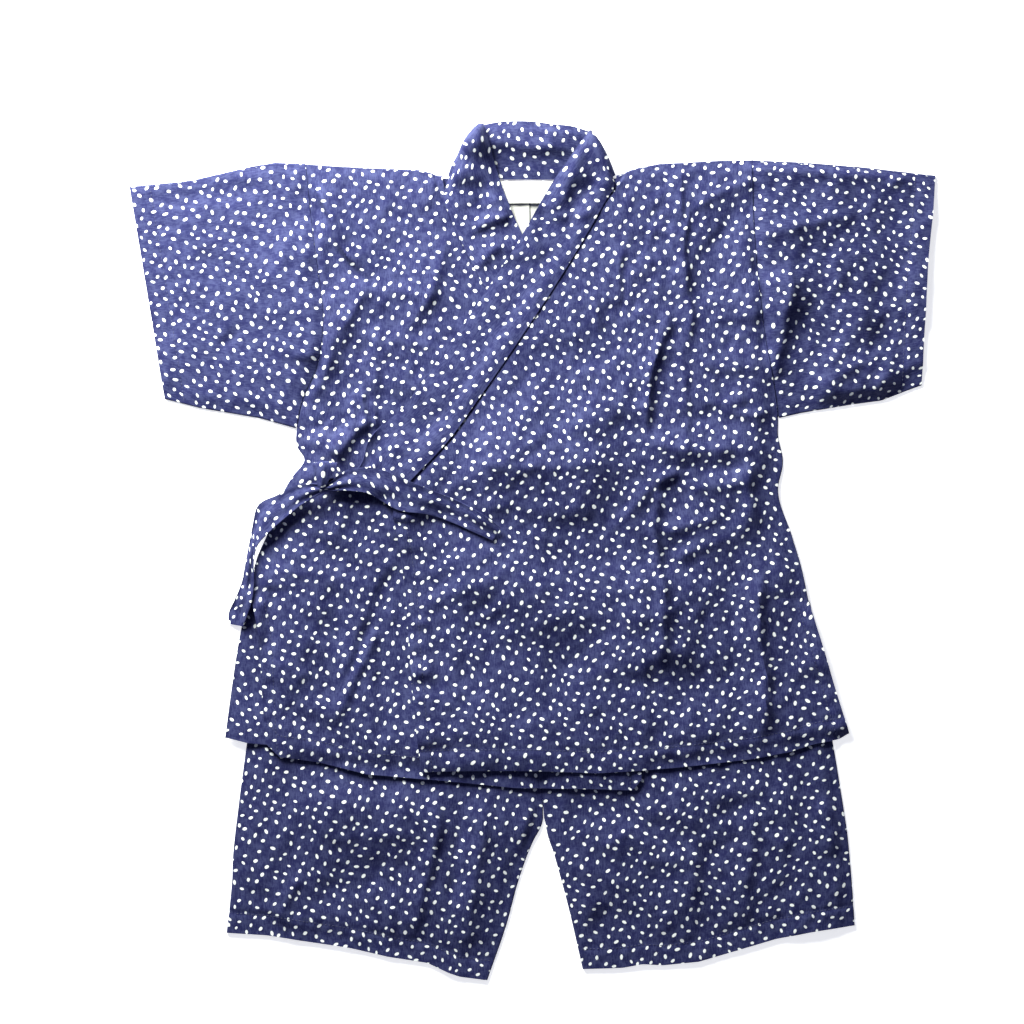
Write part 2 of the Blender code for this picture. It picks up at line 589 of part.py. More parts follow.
def build():
    fresh_scene()
    leg("right")
    leg("left")
    shorts_band()

    back_left, back_right = back_half("left"), back_half("right")
    sleeve("left")
    sleeve("right")
    band_back = band_stretch(BAND_BACK, BAND_ROWS["back"], 0)
    for name, box in CARE_LABELS.items():
        label(name, *box)
    label("neck_label", *NECK_LABEL)

    front_right = front_half("right")
    band_under = band_stretch(BAND_UNDER, BAND_ROWS["under"], FOLD_ROOM)
    front_left = front_half("left")
    band_over = band_stretch(BAND_OVER, BAND_ROWS["over"], FOLD_ROOM)
    join_body("left", back_left, front_left)
    join_body("right", back_right, front_right)
    collar(band_under, band_back, band_over)

    knot_place = np.array([[KNOT_X, KNOT_Y]])
    knot_base = rest(knot_place, LAY_GAP, reach=14, ease=4)[0]
    tie("tie_over", TIE_OVER, 18, knot_base)
    tie("tie_side", TIE_SIDE, 18, knot_base)
    knot(knot_base)


build()
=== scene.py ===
"""Looks of a child's jinbei set laid flat: a wrap jacket, tied at one side, on its shorts.

The cloth pieces are laid one on another, lowest first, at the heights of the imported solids.
Each is a grid of points whose height is read from the pile below it, with creases and a light
rumple on top. The tables are in millimetres: X to the wearer's left, Y towards the neck and Z
up from the floor.
"""

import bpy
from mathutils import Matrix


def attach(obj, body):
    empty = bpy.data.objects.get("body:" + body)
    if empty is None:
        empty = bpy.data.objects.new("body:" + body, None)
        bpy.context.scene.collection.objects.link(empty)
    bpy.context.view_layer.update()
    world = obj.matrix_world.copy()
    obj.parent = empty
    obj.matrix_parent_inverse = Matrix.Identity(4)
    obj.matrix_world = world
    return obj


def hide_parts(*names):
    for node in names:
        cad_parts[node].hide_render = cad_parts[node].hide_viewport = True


bl_info = {
    "name": "Jinbei Set",
    "version": (1, 0, 0),
    "blender": (4, 5, 0),
    "location": "View3D > Sidebar > Jinbei",
    "description": "Adds a jinbei jacket and shorts, laid flat, with their stage",
    "category": "Add Mesh",
}

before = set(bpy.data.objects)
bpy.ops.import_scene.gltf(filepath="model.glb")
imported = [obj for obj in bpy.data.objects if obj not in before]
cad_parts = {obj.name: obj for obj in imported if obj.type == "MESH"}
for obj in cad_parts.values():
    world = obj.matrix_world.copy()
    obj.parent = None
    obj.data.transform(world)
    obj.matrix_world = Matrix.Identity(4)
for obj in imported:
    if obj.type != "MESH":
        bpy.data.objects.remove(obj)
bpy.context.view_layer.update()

import bpy
import numpy as np
from bpy.props import (
    FloatProperty, FloatVectorProperty, IntProperty, PointerProperty,
)
from mathutils import Vector

MM = 0.001

# ---------------------------------------------------------------- sizes, as in the solids

CLOTH = 0.7            # thickness of the cotton
BAND_WALL = 0.9        # of the collar band and the ties, which are several layers
LABEL_WALL = 0.5
LAY_GAP = 0.12         # between a piece and the one that it lies on
FOLD_ROOM = 0.7        # inside a fold, between its two layers
CLEAR = 0.6            # least room between a sleeve's layers
FOLD_INSET = 0.5 * (FOLD_ROOM + CLOTH)
SEAM = 0.35            # half the groove of a seam
SEAM_STEP = 1.5        # from a seam of the front to that of the back
BAND_TUCK = 7.0        # of a front's edge inside the collar band
BAND_SINK = 0.7        # of the band's seam edge into the front
BAND_TILT = 5.0        # of the band's free edge behind the neck
BAND_CROWN = 3.5       # of the band's middle near the neck
BAND_ROLL = 0.3        # of the band's body over its two edges
KNOT_GATHER = 4.2      # height of the gathers that the knot draws in the band
LEDGE = 1.2            # of a front beside the band, over the edge tucked in
LOFT = 2.6             # of the upper layer over the lower one, away from its edges
EASED = 0.2            # relief that is pressed flat
LEG_CLEAR = 0.1        # between a leg's inner fold and the centre, beyond half its wall
SLEEVE_STEP = {"left": -0.6, "right": 0.5}     # from the body to the sleeve at the armhole
LABEL_EASE = 1.03      # of a label's length over its place
LABEL_CURL = 0.5       # of a label's free end
GATHERS, GATHER_HEIGHT = 24, 1.2               # of the waistband
TIE_PLEAT, TIE_RIPPLE, TIE_FOLD, TIE_LIFT = 0.7, 0.35, 0.5, 0.5
TURN_STEP = 1.2        # of the print, from row to row where the band turns over

# Share of the loft at a free edge, and how far from it the loft is whole
LOFTED = {"leg": (0.15, 55.0), "front": (0.12, 55.0), "sleeve": (0.25, 45.0)}
FOLD_LOW, SEAM_LOW = 0.15, 0.12                # share of the relief left at a fold or a seam

BOX_CENTRE = (0.0, -0.83, 0.0)
SHORTS_BAND_HEIGHT = 25.0
SHORTS_BAND_LEFT, SHORTS_BAND_RIGHT = 150.0, -144.0
SHORTS_TOP = 30.0
SHORTS_SHOWN = -135.0  # height below which the shorts are lofted, clear of the jacket
CENTRE_BACK = -3.0
CENTRE_SHORTS = 8.5
SHOULDER = 310.0       # height of the shoulder fold, where the print turns over

# Hems: width of the turning, and of the narrow ones at the slits and the front edge
HEM, SLEEVE_HEM, LEG_HEM, NARROW_HEM = 17.0, 16.0, 16.0, 9.0
STITCH_LENGTH, STITCH_PITCH, STITCH_RADIUS = 2.1, 3.0, 0.28

# Edges of the jacket: (station, x, y). Stations: 0 hem, 1 top of the side slit,
# 2 underarm, 3 shoulder fold.
SIDE_LEFT = (
    (1.00, 220, -40), (1.16, 215, -16), (1.35, 207, 11), (1.61, 196, 49), (1.75, 200, 70),
    (1.90, 196, 92), (2.00, 196, 106), (2.15, 192, 136), (2.30, 186, 168), (2.63, 178, 236),
    (2.83, 176, 276), (3.00, 175, 311),
)
SIDE_RIGHT = (
    (1.00, -225, -34), (1.18, -221, -10), (1.36, -211, 14), (1.56, -202, 40), (1.70, -192, 58),
    (1.80, -182, 72), (1.89, -188, 83), (2.00, -188, 98), (2.11, -183, 121), (2.22, -173, 144),
    (2.43, -167, 188), (2.59, -171, 222), (2.77, -176, 259), (3.00, -181, 308),
)
SLIT_FRONT_LEFT = ((0.00, 253, -146), (0.36, 243, -115), (0.74, 230, -72), (1.00, 220, -40))
SLIT_BACK_LEFT = ((0.00, 248, -138), (0.74, 226, -72), (1.00, 220, -40))
SLIT_FRONT_RIGHT = ((0.00, -213, -154), (0.33, -216, -112), (0.67, -218, -72), (1.00, -225, -34))
SLIT_BACK_RIGHT = ((0.00, -244, -150), (0.38, -238, -104), (0.68, -233, -72), (1.00, -225, -34))
EDGE_FRONT_LEFT = (
    (0.00, -89, -177), (0.41, -95, -120), (0.74, -99, -72), (1.00, -101, -40), (1.37, -108, 12),
    (1.50, -111, 30), (1.62, -103, 42), (1.80, -80, 70), (2.10, -40, 123), (2.33, -9, 170),
    (2.57, 22, 217), (2.80, 49, 263), (3.00, 67, 298),
)
EDGE_FRONT_RIGHT = (
    (0.00, 87, -183), (0.33, 86, -120), (0.70, 85, -72), (1.00, 84, -34), (1.40, 80, 16),
    (1.62, 75, 44), (1.85, 54, 75), (2.00, 40, 96), (2.15, 17, 130), (2.38, -15, 178),
    (2.57, -40, 214), (2.75, -58, 248), (2.92, -70, 282), (3.00, -72, 298),
)
CENTRE_BACK_HEIGHTS = ((0.00, -166), (1.00, -38), (2.00, 100), (3.00, 295))
STATION_LENGTHS = (125, 140, 205)

# Spans that are divided by the grid step to give the number of rows and columns
LEG_WIDTH, LEG_LOW, LEG_HIGH = 250.0, 160.0, 112.5
FRONT_WIDTH = {"left": 300.0, "right": 290.0}
NECK_WIDTH = 75.0
SLEEVE_WIDTH, SLEEVE_HEIGHT = 140.0, 205.0
LEG_SHOWN = 1.28       # station up to which a leg's rows are fine
SLIT_TOP, FRONT_HEM_TOP = 1.03, 1.45           # stations where the narrow hems end
FAR = 200.0            # added to a distance, past all that it acts on

# Ends of the jacket's panels: (x, y) along the hems, and along the neckline and shoulder fold
HEM_FRONT_LEFT = (
    (-89, -177), (-53, -176), (0, -176), (51, -178), (86, -176), (112, -174), (174, -167),
    (206, -161), (224, -155), (245, -151), (253, -146),
)
HEM_FRONT_RIGHT = (
    (-213, -154), (-202, -165), (-172, -169), (-132, -179), (-73, -184), (-13, -190), (53, -191),
    (80, -192), (87, -183),
)
HEM_BACK_LEFT = ((CENTRE_BACK, -166), (120, -158), (248, -138))
HEM_BACK_RIGHT = ((-244, -150), (-228, -154), (-180, -158), (CENTRE_BACK, -166))
TOP_LEFT = (
    (CENTRE_BACK, 295), (44, 296), (67, 298), (82, 304), (102, 308), (120, 309), (151, 311),
    (175, 311),
)
TOP_RIGHT = ((-181, 308), (-134, 305), (-91, 303), (-72, 298), (-50, 296), (CENTRE_BACK, 295))

# Sleeves: cuffs by station, and the (x, y) of their top and underarm edges
CUFF_LEFT = (
    (2.00, 311, 132), (2.36, 314, 192), (2.60, 316, 232), (2.83, 320, 272), (3.00, 322, 299),
)
CUFF_RIGHT = ((2.00, -294, 121), (3.00, -322, 290))
SLEEVE_TOP_LEFT = ((175, 311), (215, 309), (266, 305), (322, 299))
SLEEVE_TOP_RIGHT = ((-322, 290), (-272, 295), (-224, 306), (-206, 309), (-181, 308))
UNDERARM_LEFT = ((196, 106), (214, 110), (254, 117), (278, 120), (311, 132))
UNDERARM_RIGHT = ((-294, 121), (-266, 114), (-218, 106), (-188, 98))

# The cut of each side, +1 or -1 being the way it lies from the centre
SIDES = {
    "left": {
        "away": 1, "neck": 67, "side": SIDE_LEFT, "top": TOP_LEFT, "front_edge": EDGE_FRONT_LEFT,
        "front_slit": SLIT_FRONT_LEFT, "front_hem": HEM_FRONT_LEFT,
        "back_slit": SLIT_BACK_LEFT, "back_hem": HEM_BACK_LEFT,
        "cuff": CUFF_LEFT, "sleeve_top": SLEEVE_TOP_LEFT, "underarm": UNDERARM_LEFT,
    },
    "right": {
        "away": -1, "neck": -72, "side": SIDE_RIGHT, "top": TOP_RIGHT,
        "front_edge": EDGE_FRONT_RIGHT,
        "front_slit": SLIT_FRONT_RIGHT, "front_hem": HEM_FRONT_RIGHT,
        "back_slit": SLIT_BACK_RIGHT, "back_hem": HEM_BACK_RIGHT,
        "cuff": CUFF_RIGHT, "sleeve_top": SLEEVE_TOP_RIGHT, "underarm": UNDERARM_RIGHT,
    },
}

# Shorts: stations 0 hem, 1 crotch, 2 waist seam
LEG_OUTER_LEFT = (
    (0.00, 257, -300), (0.39, 255, -268), (0.73, 252, -234), (1.00, 249, -212), (1.24, 240, -156),
    (1.46, 230, -104), (1.75, 211, -32), (1.93, 176, 12), (2.00, 157, 30),
)
LEG_OUTER_RIGHT = (
    (0.00, -244, -306), (0.44, -240, -268), (1.00, -236, -216), (1.24, -228, -156),
    (1.46, -220, -104), (1.75, -198, -32), (1.93, -168, 12), (2.00, -152, 30),
)
LEG_INNER_LEFT = (
    (0.00, 40, -335), (0.44, 28.2, -284), (0.78, 17.4, -244), (1.00, 10.2, -218),
    (1.08, CENTRE_SHORTS, -200), (1.24, CENTRE_SHORTS, -156), (1.75, CENTRE_SHORTS, -32),
    (2.00, CENTRE_SHORTS, 30),
)
LEG_INNER_RIGHT = (
    (0.00, -36, -343), (0.37, -20, -297), (0.63, -11, -264), (0.89, 1, -232), (1.00, 8, -218),
    (1.24, CENTRE_SHORTS, -156), (1.75, CENTRE_SHORTS, -32), (2.00, CENTRE_SHORTS, 30),
)
HEM_LEG_LEFT = (
    (40, -335), (72, -334), (88, -331), (104, -332), (133, -329), (157, -322), (194, -311),
    (224, -305), (257, -300),
)
HEM_LEG_RIGHT = (
    (-244, -306), (-212, -308), (-180, -313), (-146, -318), (-116, -325), (-84, -330),
    (-67, -338), (-58, -341), (-36, -344),
)
LEGS = {
    "left": {"away": 1, "inner": LEG_INNER_LEFT, "outer": LEG_OUTER_LEFT, "hem": HEM_LEG_LEFT},
    "right": {"away": -1, "inner": LEG_INNER_RIGHT, "outer": LEG_OUTER_RIGHT, "hem": HEM_LEG_RIGHT},
}

# Collar band: (x, y) of its free edge, then of its seam edge, for each row along it
BAND_OVER = (
    (-164, 56, -160, 48), (-150, 60, -143, 47), (-137, 68, -126, 46), (-132, 84, -108, 48),
    (-121, 99, -88, 65), (-106, 111, -69, 85),
    (-84, 140, -47, 115), (-45, 195, -9, 170), (-8, 252, 28, 227), (5, 275, 46, 257),
    (19, 298, 59, 280), (32, 316, 65, 290), (45, 334, 64, 298),
)
BAND_BACK = (
    (45, 334, 64, 298.8), (32, 338, 42, 296.6), (14, 340, 19, 296), (-2, 342, -2, 296),
    (-20, 342, -26, 296), (-30, 341, -47, 296.6), (-39, 339, -66, 298.8),
)
BAND_UNDER = (
    (-39, 339, -66, 298), (-34, 322, -69, 290), (-27, 298, -70, 278), (-18, 274, -62, 257),
    (-8, 252, -49, 230), (7, 227, -32, 200), (22, 203, -15, 178), (54, 155, 17, 130),
    (86, 107, 49, 82), (112, 69, 75, 44),
)

# Ties: (x, y) of one edge, then of the other, the height over what lies below, and how far
# the first edge stands higher than the other
TIE_OVER = (
    (-166, 52, -166, 47, 2.2, 0), (-161, 54, -160, 47, 2.2, 0), (-155, 59, -152, 47.5, 2.0, -0.6),
    (-147, 64, -143, 47, 1.5, -1.0), (-136, 66, -132, 45.5, 0.9, -0.8),
    (-120, 64, -118, 38, 0.6, 1.2), (-101, 56, -107, 32, 0.3, 2.2), (-76, 46, -81, 28, 0.2, 2.2),
    (-59, 39, -64, 22, 0.2, 2.0), (-39, 28, -46, 14, 0.2, 2.3), (-25, 18, -32, 8, 0.2, 2.6),
)
TIE_SIDE = (
    (-167, 52, -165, 47, 3.0, 0), (-176, 53, -172, 43, 3.6, 0), (-190, 51, -184, 36, 4.4, -0.8),
    (-203, 44, -194, 28, 4.8, -1.2), (-220, 34, -211, 13, 4.8, -1.0), (-224, 16, -219, 4, 4.2, 0.6),
    (-228, -6, -222, -10, 2.4, 3.0), (-232, -26, -222, -27, 1.0, 3.4),
    (-238, -40, -224, -42, 0.4, 2.6), (-243, -51, -228, -54, 0.3, -0.6),
    (-243, -59, -231, -61, 0.3, -0.6),
)

# Knot: a loop of the tie over both tails, wide at its top and narrow at its foot
KNOT_X, KNOT_Y = -166.0, 50.0
KNOT_FOOT, KNOT_TOP = 48.0, 71.0
KNOT_NARROW, KNOT_WIDE, KNOT_HEIGHT = 7.0, 19.0, 8.0
KNOT_WALL, KNOT_STEP = 1.2, 1.35               # its wall, and the print from row to row
KNOT_PUFF, KNOT_CREASE = 0.42, 0.11            # shares of its height

# Columns across the band and the ties, and rows and columns of the knot
BAND_COLUMNS, TIE_COLUMNS, KNOT_ROWS, KNOT_COLUMNS = 19, 13, 41, 11

# Labels: left, right, bottom, top
LABELS = {
    "care_label_left": (-1.8, 20, 244, 292),
    "care_label_right": (-27, -2.5, 246, 292),
    "neck_label": (-29, 22, 277, 294.5),
}
CARE_TONE = 0.6        # of the care labels' tape beside that of the neck label

# Where the print starts on each piece, so that it doesn't run on across the seams
PRINT_START = {
    "leg_left": (31.0, 5.0), "leg_right": (-31.0, 5.0), "body_left": (0.0, 0.0),
    "body_right": (3.7, 2.9), "sleeve": (SHOULDER, 40.0), "band_back": (60.0, 0.0),
    "tie_over": (20.0, 0.0), "tie_side": (55.0, 0.0), "tie_knot": (30.0, 0.0),
}

# Pieces: flat width and length in metres, how each is held, and what it rests on
COTTON_PIECES = {
    "leg": ((0.50, 0.375), "laid", ()),
    "waistband": ((0.60, 0.025), "gathered", ()),
    "body_right": ((0.36, 0.99), "laid", ["leg_right_cloth", "leg_left_cloth"]),
    "body_left": ((0.36, 0.99), "laid", ["leg_left_cloth", "body_right_cloth"]),
    "sleeve": ((0.15, 0.42), "laid", ()),
    "collar_band": ((0.05, 0.76), "folded", ["body_left_cloth", "body_right_cloth"]),
    "tie_over": ((0.025, 0.17), "laid", ["body_left_cloth"]),
    "tie_side": ((0.025, 0.17), "folded", ["body_right_cloth"]),
    "tie_knot": ((0.015, 0.056), "folded", ["tie_over_cloth"]),
}

# Creases of each panel: a ridge, or a trough where the height is negative, that runs through
# three points (x, y, x, y, x, y), with its height, half its width, and how far it leans: from
# -1, steep on the left of its way, to 1, steep on the right. Those of a shoulder run on from
# the body to the sleeve.
CREASES = {
    "collar_band": (
        (-124, 98, -126, 76, -122, 56, -2.0, 6, 0), (-112, 92, -114, 74, -118, 54, 2.0, 7, 0),
        (-100, 82, -102, 68, -104, 52, -1.6, 7, 0), (-60, 118, -34, 128, -8, 146, 0.8, 8, 0.3),
        (8, 266, 28, 268, 52, 267, 2.0, 5, 0.4), (-4, 272, -24, 264, -50, 248, 5.6, 7, -0.55),
        (-20, 243, -36, 232, -54, 214, 3.4, 6, -0.5), (40, 322, 28, 292, 6, 262, 2.6, 9, -0.4),
        (-64, 318, -8, 323, 54, 317, 5.2, 12, 0.5), (-40, 344, -42, 332, -44, 318, 2.0, 7, -0.4),
        (14, 344, 16, 332, 14, 316, 2.2, 8, -0.3), (-64, 308, -52, 290, -42, 268, 3.6, 9, 0.4),
        (-10, 284, -28, 277, -48, 270, 1.8, 5, -0.4), (-66, 262, -70, 226, -84, 186, 2.4, 8, -0.4),
    ),
    "left_shoulder": (
        (176, 300, 181, 210, 195, 112, -2.4, 4.5, 0),
        (204, 232, 201, 184, 193, 122, 6.6, 15, -0.45),
        (198, 288, 180, 238, 170, 172, 4.8, 40, 0.5),
        (176, 286, 146, 240, 126, 186, -3.4, 10, 0.3),
        (150, 304, 225, 305, 296, 298, 4.6, 14, 0.6), (182, 246, 220, 259, 264, 272, 4.4, 12, 0.4),
    ),
    "right_shoulder": (
        (-182, 270, -176, 200, -172, 130, 5.2, 27, 0),
        (-180, 300, -170, 215, -168, 180, -2.4, 4.5, 0),
        (-168, 188, -173, 146, -187, 104, -2.4, 4.5, 0),
        (-196, 262, -199, 215, -192, 178, 2.6, 13, -0.4),
        (-164, 248, -158, 222, -166, 196, -2.6, 12, 0.2),
        (-196, 158, -184, 157, -171, 157, 2.2, 4, 0.4),
        (-156, 182, -163, 150, -170, 116, 2.8, 10, -0.4),
        (-192, 306, -187, 296, -184, 284, 2.0, 4, -0.5),
    ),
    "front_left": (
        (-68, 66, 0, 67, 92, 62, 8.0, 38, 0.2), (-62, 65, 0, 67, 66, 65, 2.4, 8, 0.5),
        (86, 84, 130, 81, 194, 80, 4.2, 9, 0.35), (92, 68, 130, 66, 186, 68, -2.4, 6, 0),
        (120, 49, 150, 52, 188, 54, 3.6, 9, 0.2), (138, 63, 112, 61, 95, 44, 3.4, 6, -0.5),
        (92, 53, 82, 34, 60, 10, 4.0, 10, 0.45), (101, 58, 101, -20, 109, -118, 5.6, 9, -0.7),
        (98, 11, 126, 20, 162, 32, 3.4, 6, 0.3), (106, -9, 132, 1, 164, 18, 3.2, 6, 0.3),
        (180, 2, 184, -80, 185, -172, 5.6, 7, -0.6), (174, 74, 175, 46, 180, 8, 3.6, 7, -0.5),
        (208, 10, 228, -60, 246, -140, 3.6, 18, 0.4), (20, 98, 54, 104, 96, 117, 4.2, 18, 0.5),
        (-20, 124, 20, 157, 98, 161, -2.6, 10, 0), (71, 248, 72, 216, 68, 192, 2.2, 6, -0.6),
        (51, 214, 52, 196, 50, 178, 2.0, 5, -0.6), (116, 308, 117, 284, 118, 258, 2.4, 7, -0.6),
        (119, 264, 121, 230, 122, 204, 1.8, 8, -0.5), (90, 254, 104, 253, 120, 256, 2.4, 7, 0.4),
        (120, 271, 150, 285, 192, 301, 3.2, 8, 0.4), (116, 184, 100, 162, 94, 134, 2.8, 7, -0.6),
        (95, 152, 94, 118, 92, 86, 2.6, 7, -0.6), (126, 153, 156, 146, 194, 150, 2.4, 8, 0.4),
        (126, 128, 150, 118, 184, 126, 2.4, 7, 0.35), (148, 113, 172, 108, 198, 110, 3.0, 7, 0.3),
        (134, 190, 160, 186, 194, 192, 1.6, 7, 0.3), (122, 108, 142, 94, 162, 84, 2.2, 7, 0.3),
        (84, 232, 92, 228, 100, 229, 1.6, 5, 0.3), (78, 188, 88, 186, 98, 188, 1.8, 5, 0.3),
        (66, 302, 60, 282, 46, 258, 5.0, 14, 0), (124, 300, 124, 220, 125, 140, 1.8, 5, -0.7),
        (125, 146, 124, 110, 118, 62, 2.0, 5, -0.7), (98, 176, 96, 130, 90, 70, 2.2, 5, -0.7),
        (-86, -22, -20, -35, 52, -72, 5.6, 24, 0.2), (-70, -100, -10, -106, 50, -112, -3.4, 22, 0),
        (-92, -164, -30, -168, 40, -164, 2.0, 26, 0.2), (40, -8, 70, -30, 92, -70, 2.0, 14, 0),
        (101, 0, 103, -60, 108, -110, 6.2, 36, 0), (-98, -80, -96, -120, -92, -165, 3.0, 30, 0),
        (-98, -57, -90, -57, -79, -58, 1.8, 4.5, 0.2),
        (-98, -75, -90, -76, -79, -76, 1.6, 4.5, 0.2), (-97, -97, -88, -97, -77, -98, 1.9, 5, 0.2),
        (-96, -117, -86, -118, -74, -117, 1.4, 4.5, 0.2), (-20, 40, 14, 30, 50, 34, 1.4, 10, 0.3),
    ),
    "front_right": (
        (-178, 300, -158, 252, -130, 214, 6.8, 6, 0.8),
        (-130, 213, -141, 193, -160, 168, 4.4, 9, -0.5),
        (-124, 184, -124, 150, -122, 118, 2.8, 9, -0.5),
        (-124, 164, -113, 142, -106, 118, 1.8, 5, -0.5),
        (-74, 308, -79, 290, -85, 266, 4.6, 8, -0.6),
        (-67, 258, -77, 222, -101, 172, 5.0, 10, -0.5),
        (-118, 164, -96, 165, -72, 164, 1.4, 5, 0.3), (-116, 276, -106, 268, -96, 266, -1.8, 6, 0),
        (-122, 210, -104, 204, -88, 206, 2.2, 7, 0.4),
        (-108, 150, -102, 136, -92, 128, 1.6, 5, -0.4),
        (-133, 132, -133, 110, -135, 92, 4.2, 3.6, -0.5),
        (-141, 126, -142, 108, -145, 92, 3.4, 3.4, -0.5),
        (-131, 104, -146, 88, -163, 66, 6.0, 7, -0.5),
        (-126, 122, -126, 106, -128, 96, 3.2, 3.2, -0.5),
        (-150, 98, -157, 85, -163, 72, 3.2, 3.4, 0.4),
        (-174, 94, -171, 80, -168, 68, 2.8, 4, -0.4), (-186, 75, -177, 69, -168, 62, 1.7, 4, 0.4),
        (-198, 58, -186, 57, -172, 54, 2.6, 4, 0.3), (-190, 84, -176, 82, -162, 86, 1.9, 5, 0.3),
        (-188, 99, -174, 95, -160, 98, -1.6, 5, 0), (-148, 110, -152, 98, -160, 88, -2.6, 5, 0),
        (-180, 72, -172, 66, -168, 60, 2.6, 5, 0),
        (-113, -10, -129, -58, -153, -128, -4.2, 6, 0.5),
        (-118, -60, -140, -104, -164, -146, 4.4, 6, -0.6),
        (-99, 30, -102, -50, -111, -154, -4.2, 9, 0.3),
        (-117, -48, -121, -104, -124, -162, -3.0, 6, 0.3),
        (-199, 8, -213, -66, -204, -150, -3.0, 6, 0.2),
        (-148, 46, -150, 24, -158, 0, 3.6, 10, -0.3), (-206, -2, -190, -3, -174, -6, 1.2, 4, 0.3),
        (-208, -16, -190, -17, -170, -20, 1.0, 4, 0.3),
        (-168, -30, -158, -50, -162, -96, -2.2, 11, 0),
        (-190, -20, -182, -70, -186, -120, 2.0, 14, -0.2),
        (-66, 302, -64, 282, -56, 262, 5.0, 14, 0), (-206, 20, -214, -60, -212, -140, 5.6, 42, 0),
    ),
    "sleeve_left": (
        (243, 240, 243, 222, 246, 204, 2.2, 5, -0.3),
        (282, 286, 292, 240, 282, 186, -2.4, 12, -0.3),
        (290, 196, 276, 168, 252, 146, -2.4, 8, -0.3),
        (272, 202, 253, 168, 234, 140, 2.8, 11, -0.4),
        (278, 162, 252, 142, 219, 121, 3.2, 8, -0.4), (320, 151, 296, 145, 268, 131, 2.0, 7, -0.3),
        (280, 286, 292, 294, 308, 301, 2.4, 4, 0.3), (323, 292, 320, 228, 311, 156, 3.4, 30, 0.2),
        (262, 250, 266, 226, 262, 204, 1.6, 9, -0.3), (300, 146, 262, 128, 222, 116, 5.4, 34, 0),
    ),
    "sleeve_right": (
        (-316, 274, -262, 284, -210, 296, -2.4, 8, 0),
        (-252, 158, -242, 168, -231, 182, -1.6, 4.5, 0),
        (-262, 240, -257, 222, -258, 206, -1.2, 6, 0),
        (-282, 180, -290, 150, -284, 126, 1.6, 10, 0),
        (-305, 270, -300, 220, -292, 150, -1.6, 8, 0),
    ),
    "leg_left": (
        (118, -176, 119, -200, 116, -226, 2.8, 11, -0.2),
        (128, -190, 128, -240, 130, -310, 2.6, 11, -0.4),
        (170, -200, 174, -240, 170, -310, 2.8, 12, -0.4),
        (198, -180, 202, -220, 194, -270, 2.0, 13, -0.3),
        (196, -322, 234, -300, 262, -250, 2.4, 34, 0),
        (80, -252, 100, -250, 120, -257, 1.8, 10, 0.2),
        (54, -238, 70, -231, 84, -222, 2.4, 9, -0.3), (46, -284, 70, -296, 92, -300, -2.8, 10, 0),
        (20, -206, 60, -204, 96, -208, -3.0, 14, 0),
        (118, -192, 158, -194, 196, -192, 2.6, 15, 0.3),
        (22, -240, 40, -262, 52, -300, 1.8, 10, -0.3),
        (226, -196, 236, -220, 238, -250, 2.4, 12, 0),
    ),
    "leg_right": (
        (-200, -204, -130, -209, -68, -203, 5.4, 26, -0.3),
        (-80, -184, -79, -242, -101, -324, 4.6, 9, -0.5),
        (-40, -190, -43, -250, -54, -330, 5.0, 12, -0.45),
        (-61, -198, -60, -240, -66, -300, -1.8, 5, 0),
        (-128, -262, -112, -284, -108, -318, 2.6, 10, -0.4),
        (-186, -250, -196, -276, -204, -300, 2.4, 6, -0.4),
        (4, -194, -4, -216, -16, -250, 3.0, 4, -0.3),
        (-176, -262, -140, -266, -100, -256, -2.2, 14, 0),
        (-220, -290, -170, -296, -130, -306, 2.0, 9, 0.3),
    ),
}

# How rumpled each panel is beside the rest
RUMPLED = {
    "front_left": 1.0, "front_right": 0.9, "sleeve_left": 0.95, "sleeve_right": 0.65,
    "leg_left": 0.8, "leg_right": 0.85,
}
WAVES = 48             # in the rumple
CREASE_POINTS = 13     # on the curve of a crease
WIDE_CREASE = 16.0     # half width from which a crease has a round crest

# Light: warm from the lamp, blue from all round
LAMP_COLOUR = (0.975, 1.0, 0.90)
FILL_COLOUR = (0.82, 0.885, 1.22, 1.0)

# Meshes: points within a cell of this size are one, with the cells' borders moved off round
# numbers, and edges are sharp from this angle
SAME_POINT, OFF_ROUND = 0.01, 0.00371
SHARP_RIM = np.radians(50)

# Map of the pile: the height of the cloth laid so far, in square cells
CELL = 1.5
HALF_MAP = np.array((345.0, 366.0))
MAP_SHAPE = (2 * HALF_MAP / CELL).astype(int) + 1


# ---------------------------------------------------------------- the user's settings

class JinbeiClothSettings(bpy.types.PropertyGroup):
    """Sizes of the cloth."""
    grid: FloatProperty(
        name="Grid", description="Distance between the points of the visible cloth",
        default=0.00264, min=0.0015, max=0.01, unit="LENGTH")
    hidden_grid: FloatProperty(
        name="Hidden grid", description="Distance between the points of the layers below",
        default=0.0055, min=0.0025, max=0.02, unit="LENGTH")
    wall: FloatProperty(
        name="Cloth", description="Thickness of the cotton",
        default=0.0007, min=0.0003, max=0.001, unit="LENGTH")
    band_wall: FloatProperty(
        name="Band", description="Thickness of the collar band and the ties",
        default=0.0009, min=0.0006, max=0.0016, unit="LENGTH")
    rumple: FloatProperty(
        name="Rumple", description="Height of the light rumple all over the cloth",
        default=0.00085, min=0.0, max=0.002, unit="LENGTH")
    crease: FloatProperty(
        name="Creases", description="Share of the height of the creases", default=1.0, min=0.0,
        max=2.0, subtype="FACTOR")
    seed: IntProperty(name="Seed", description="Start of the random rumple", default=7, min=0)


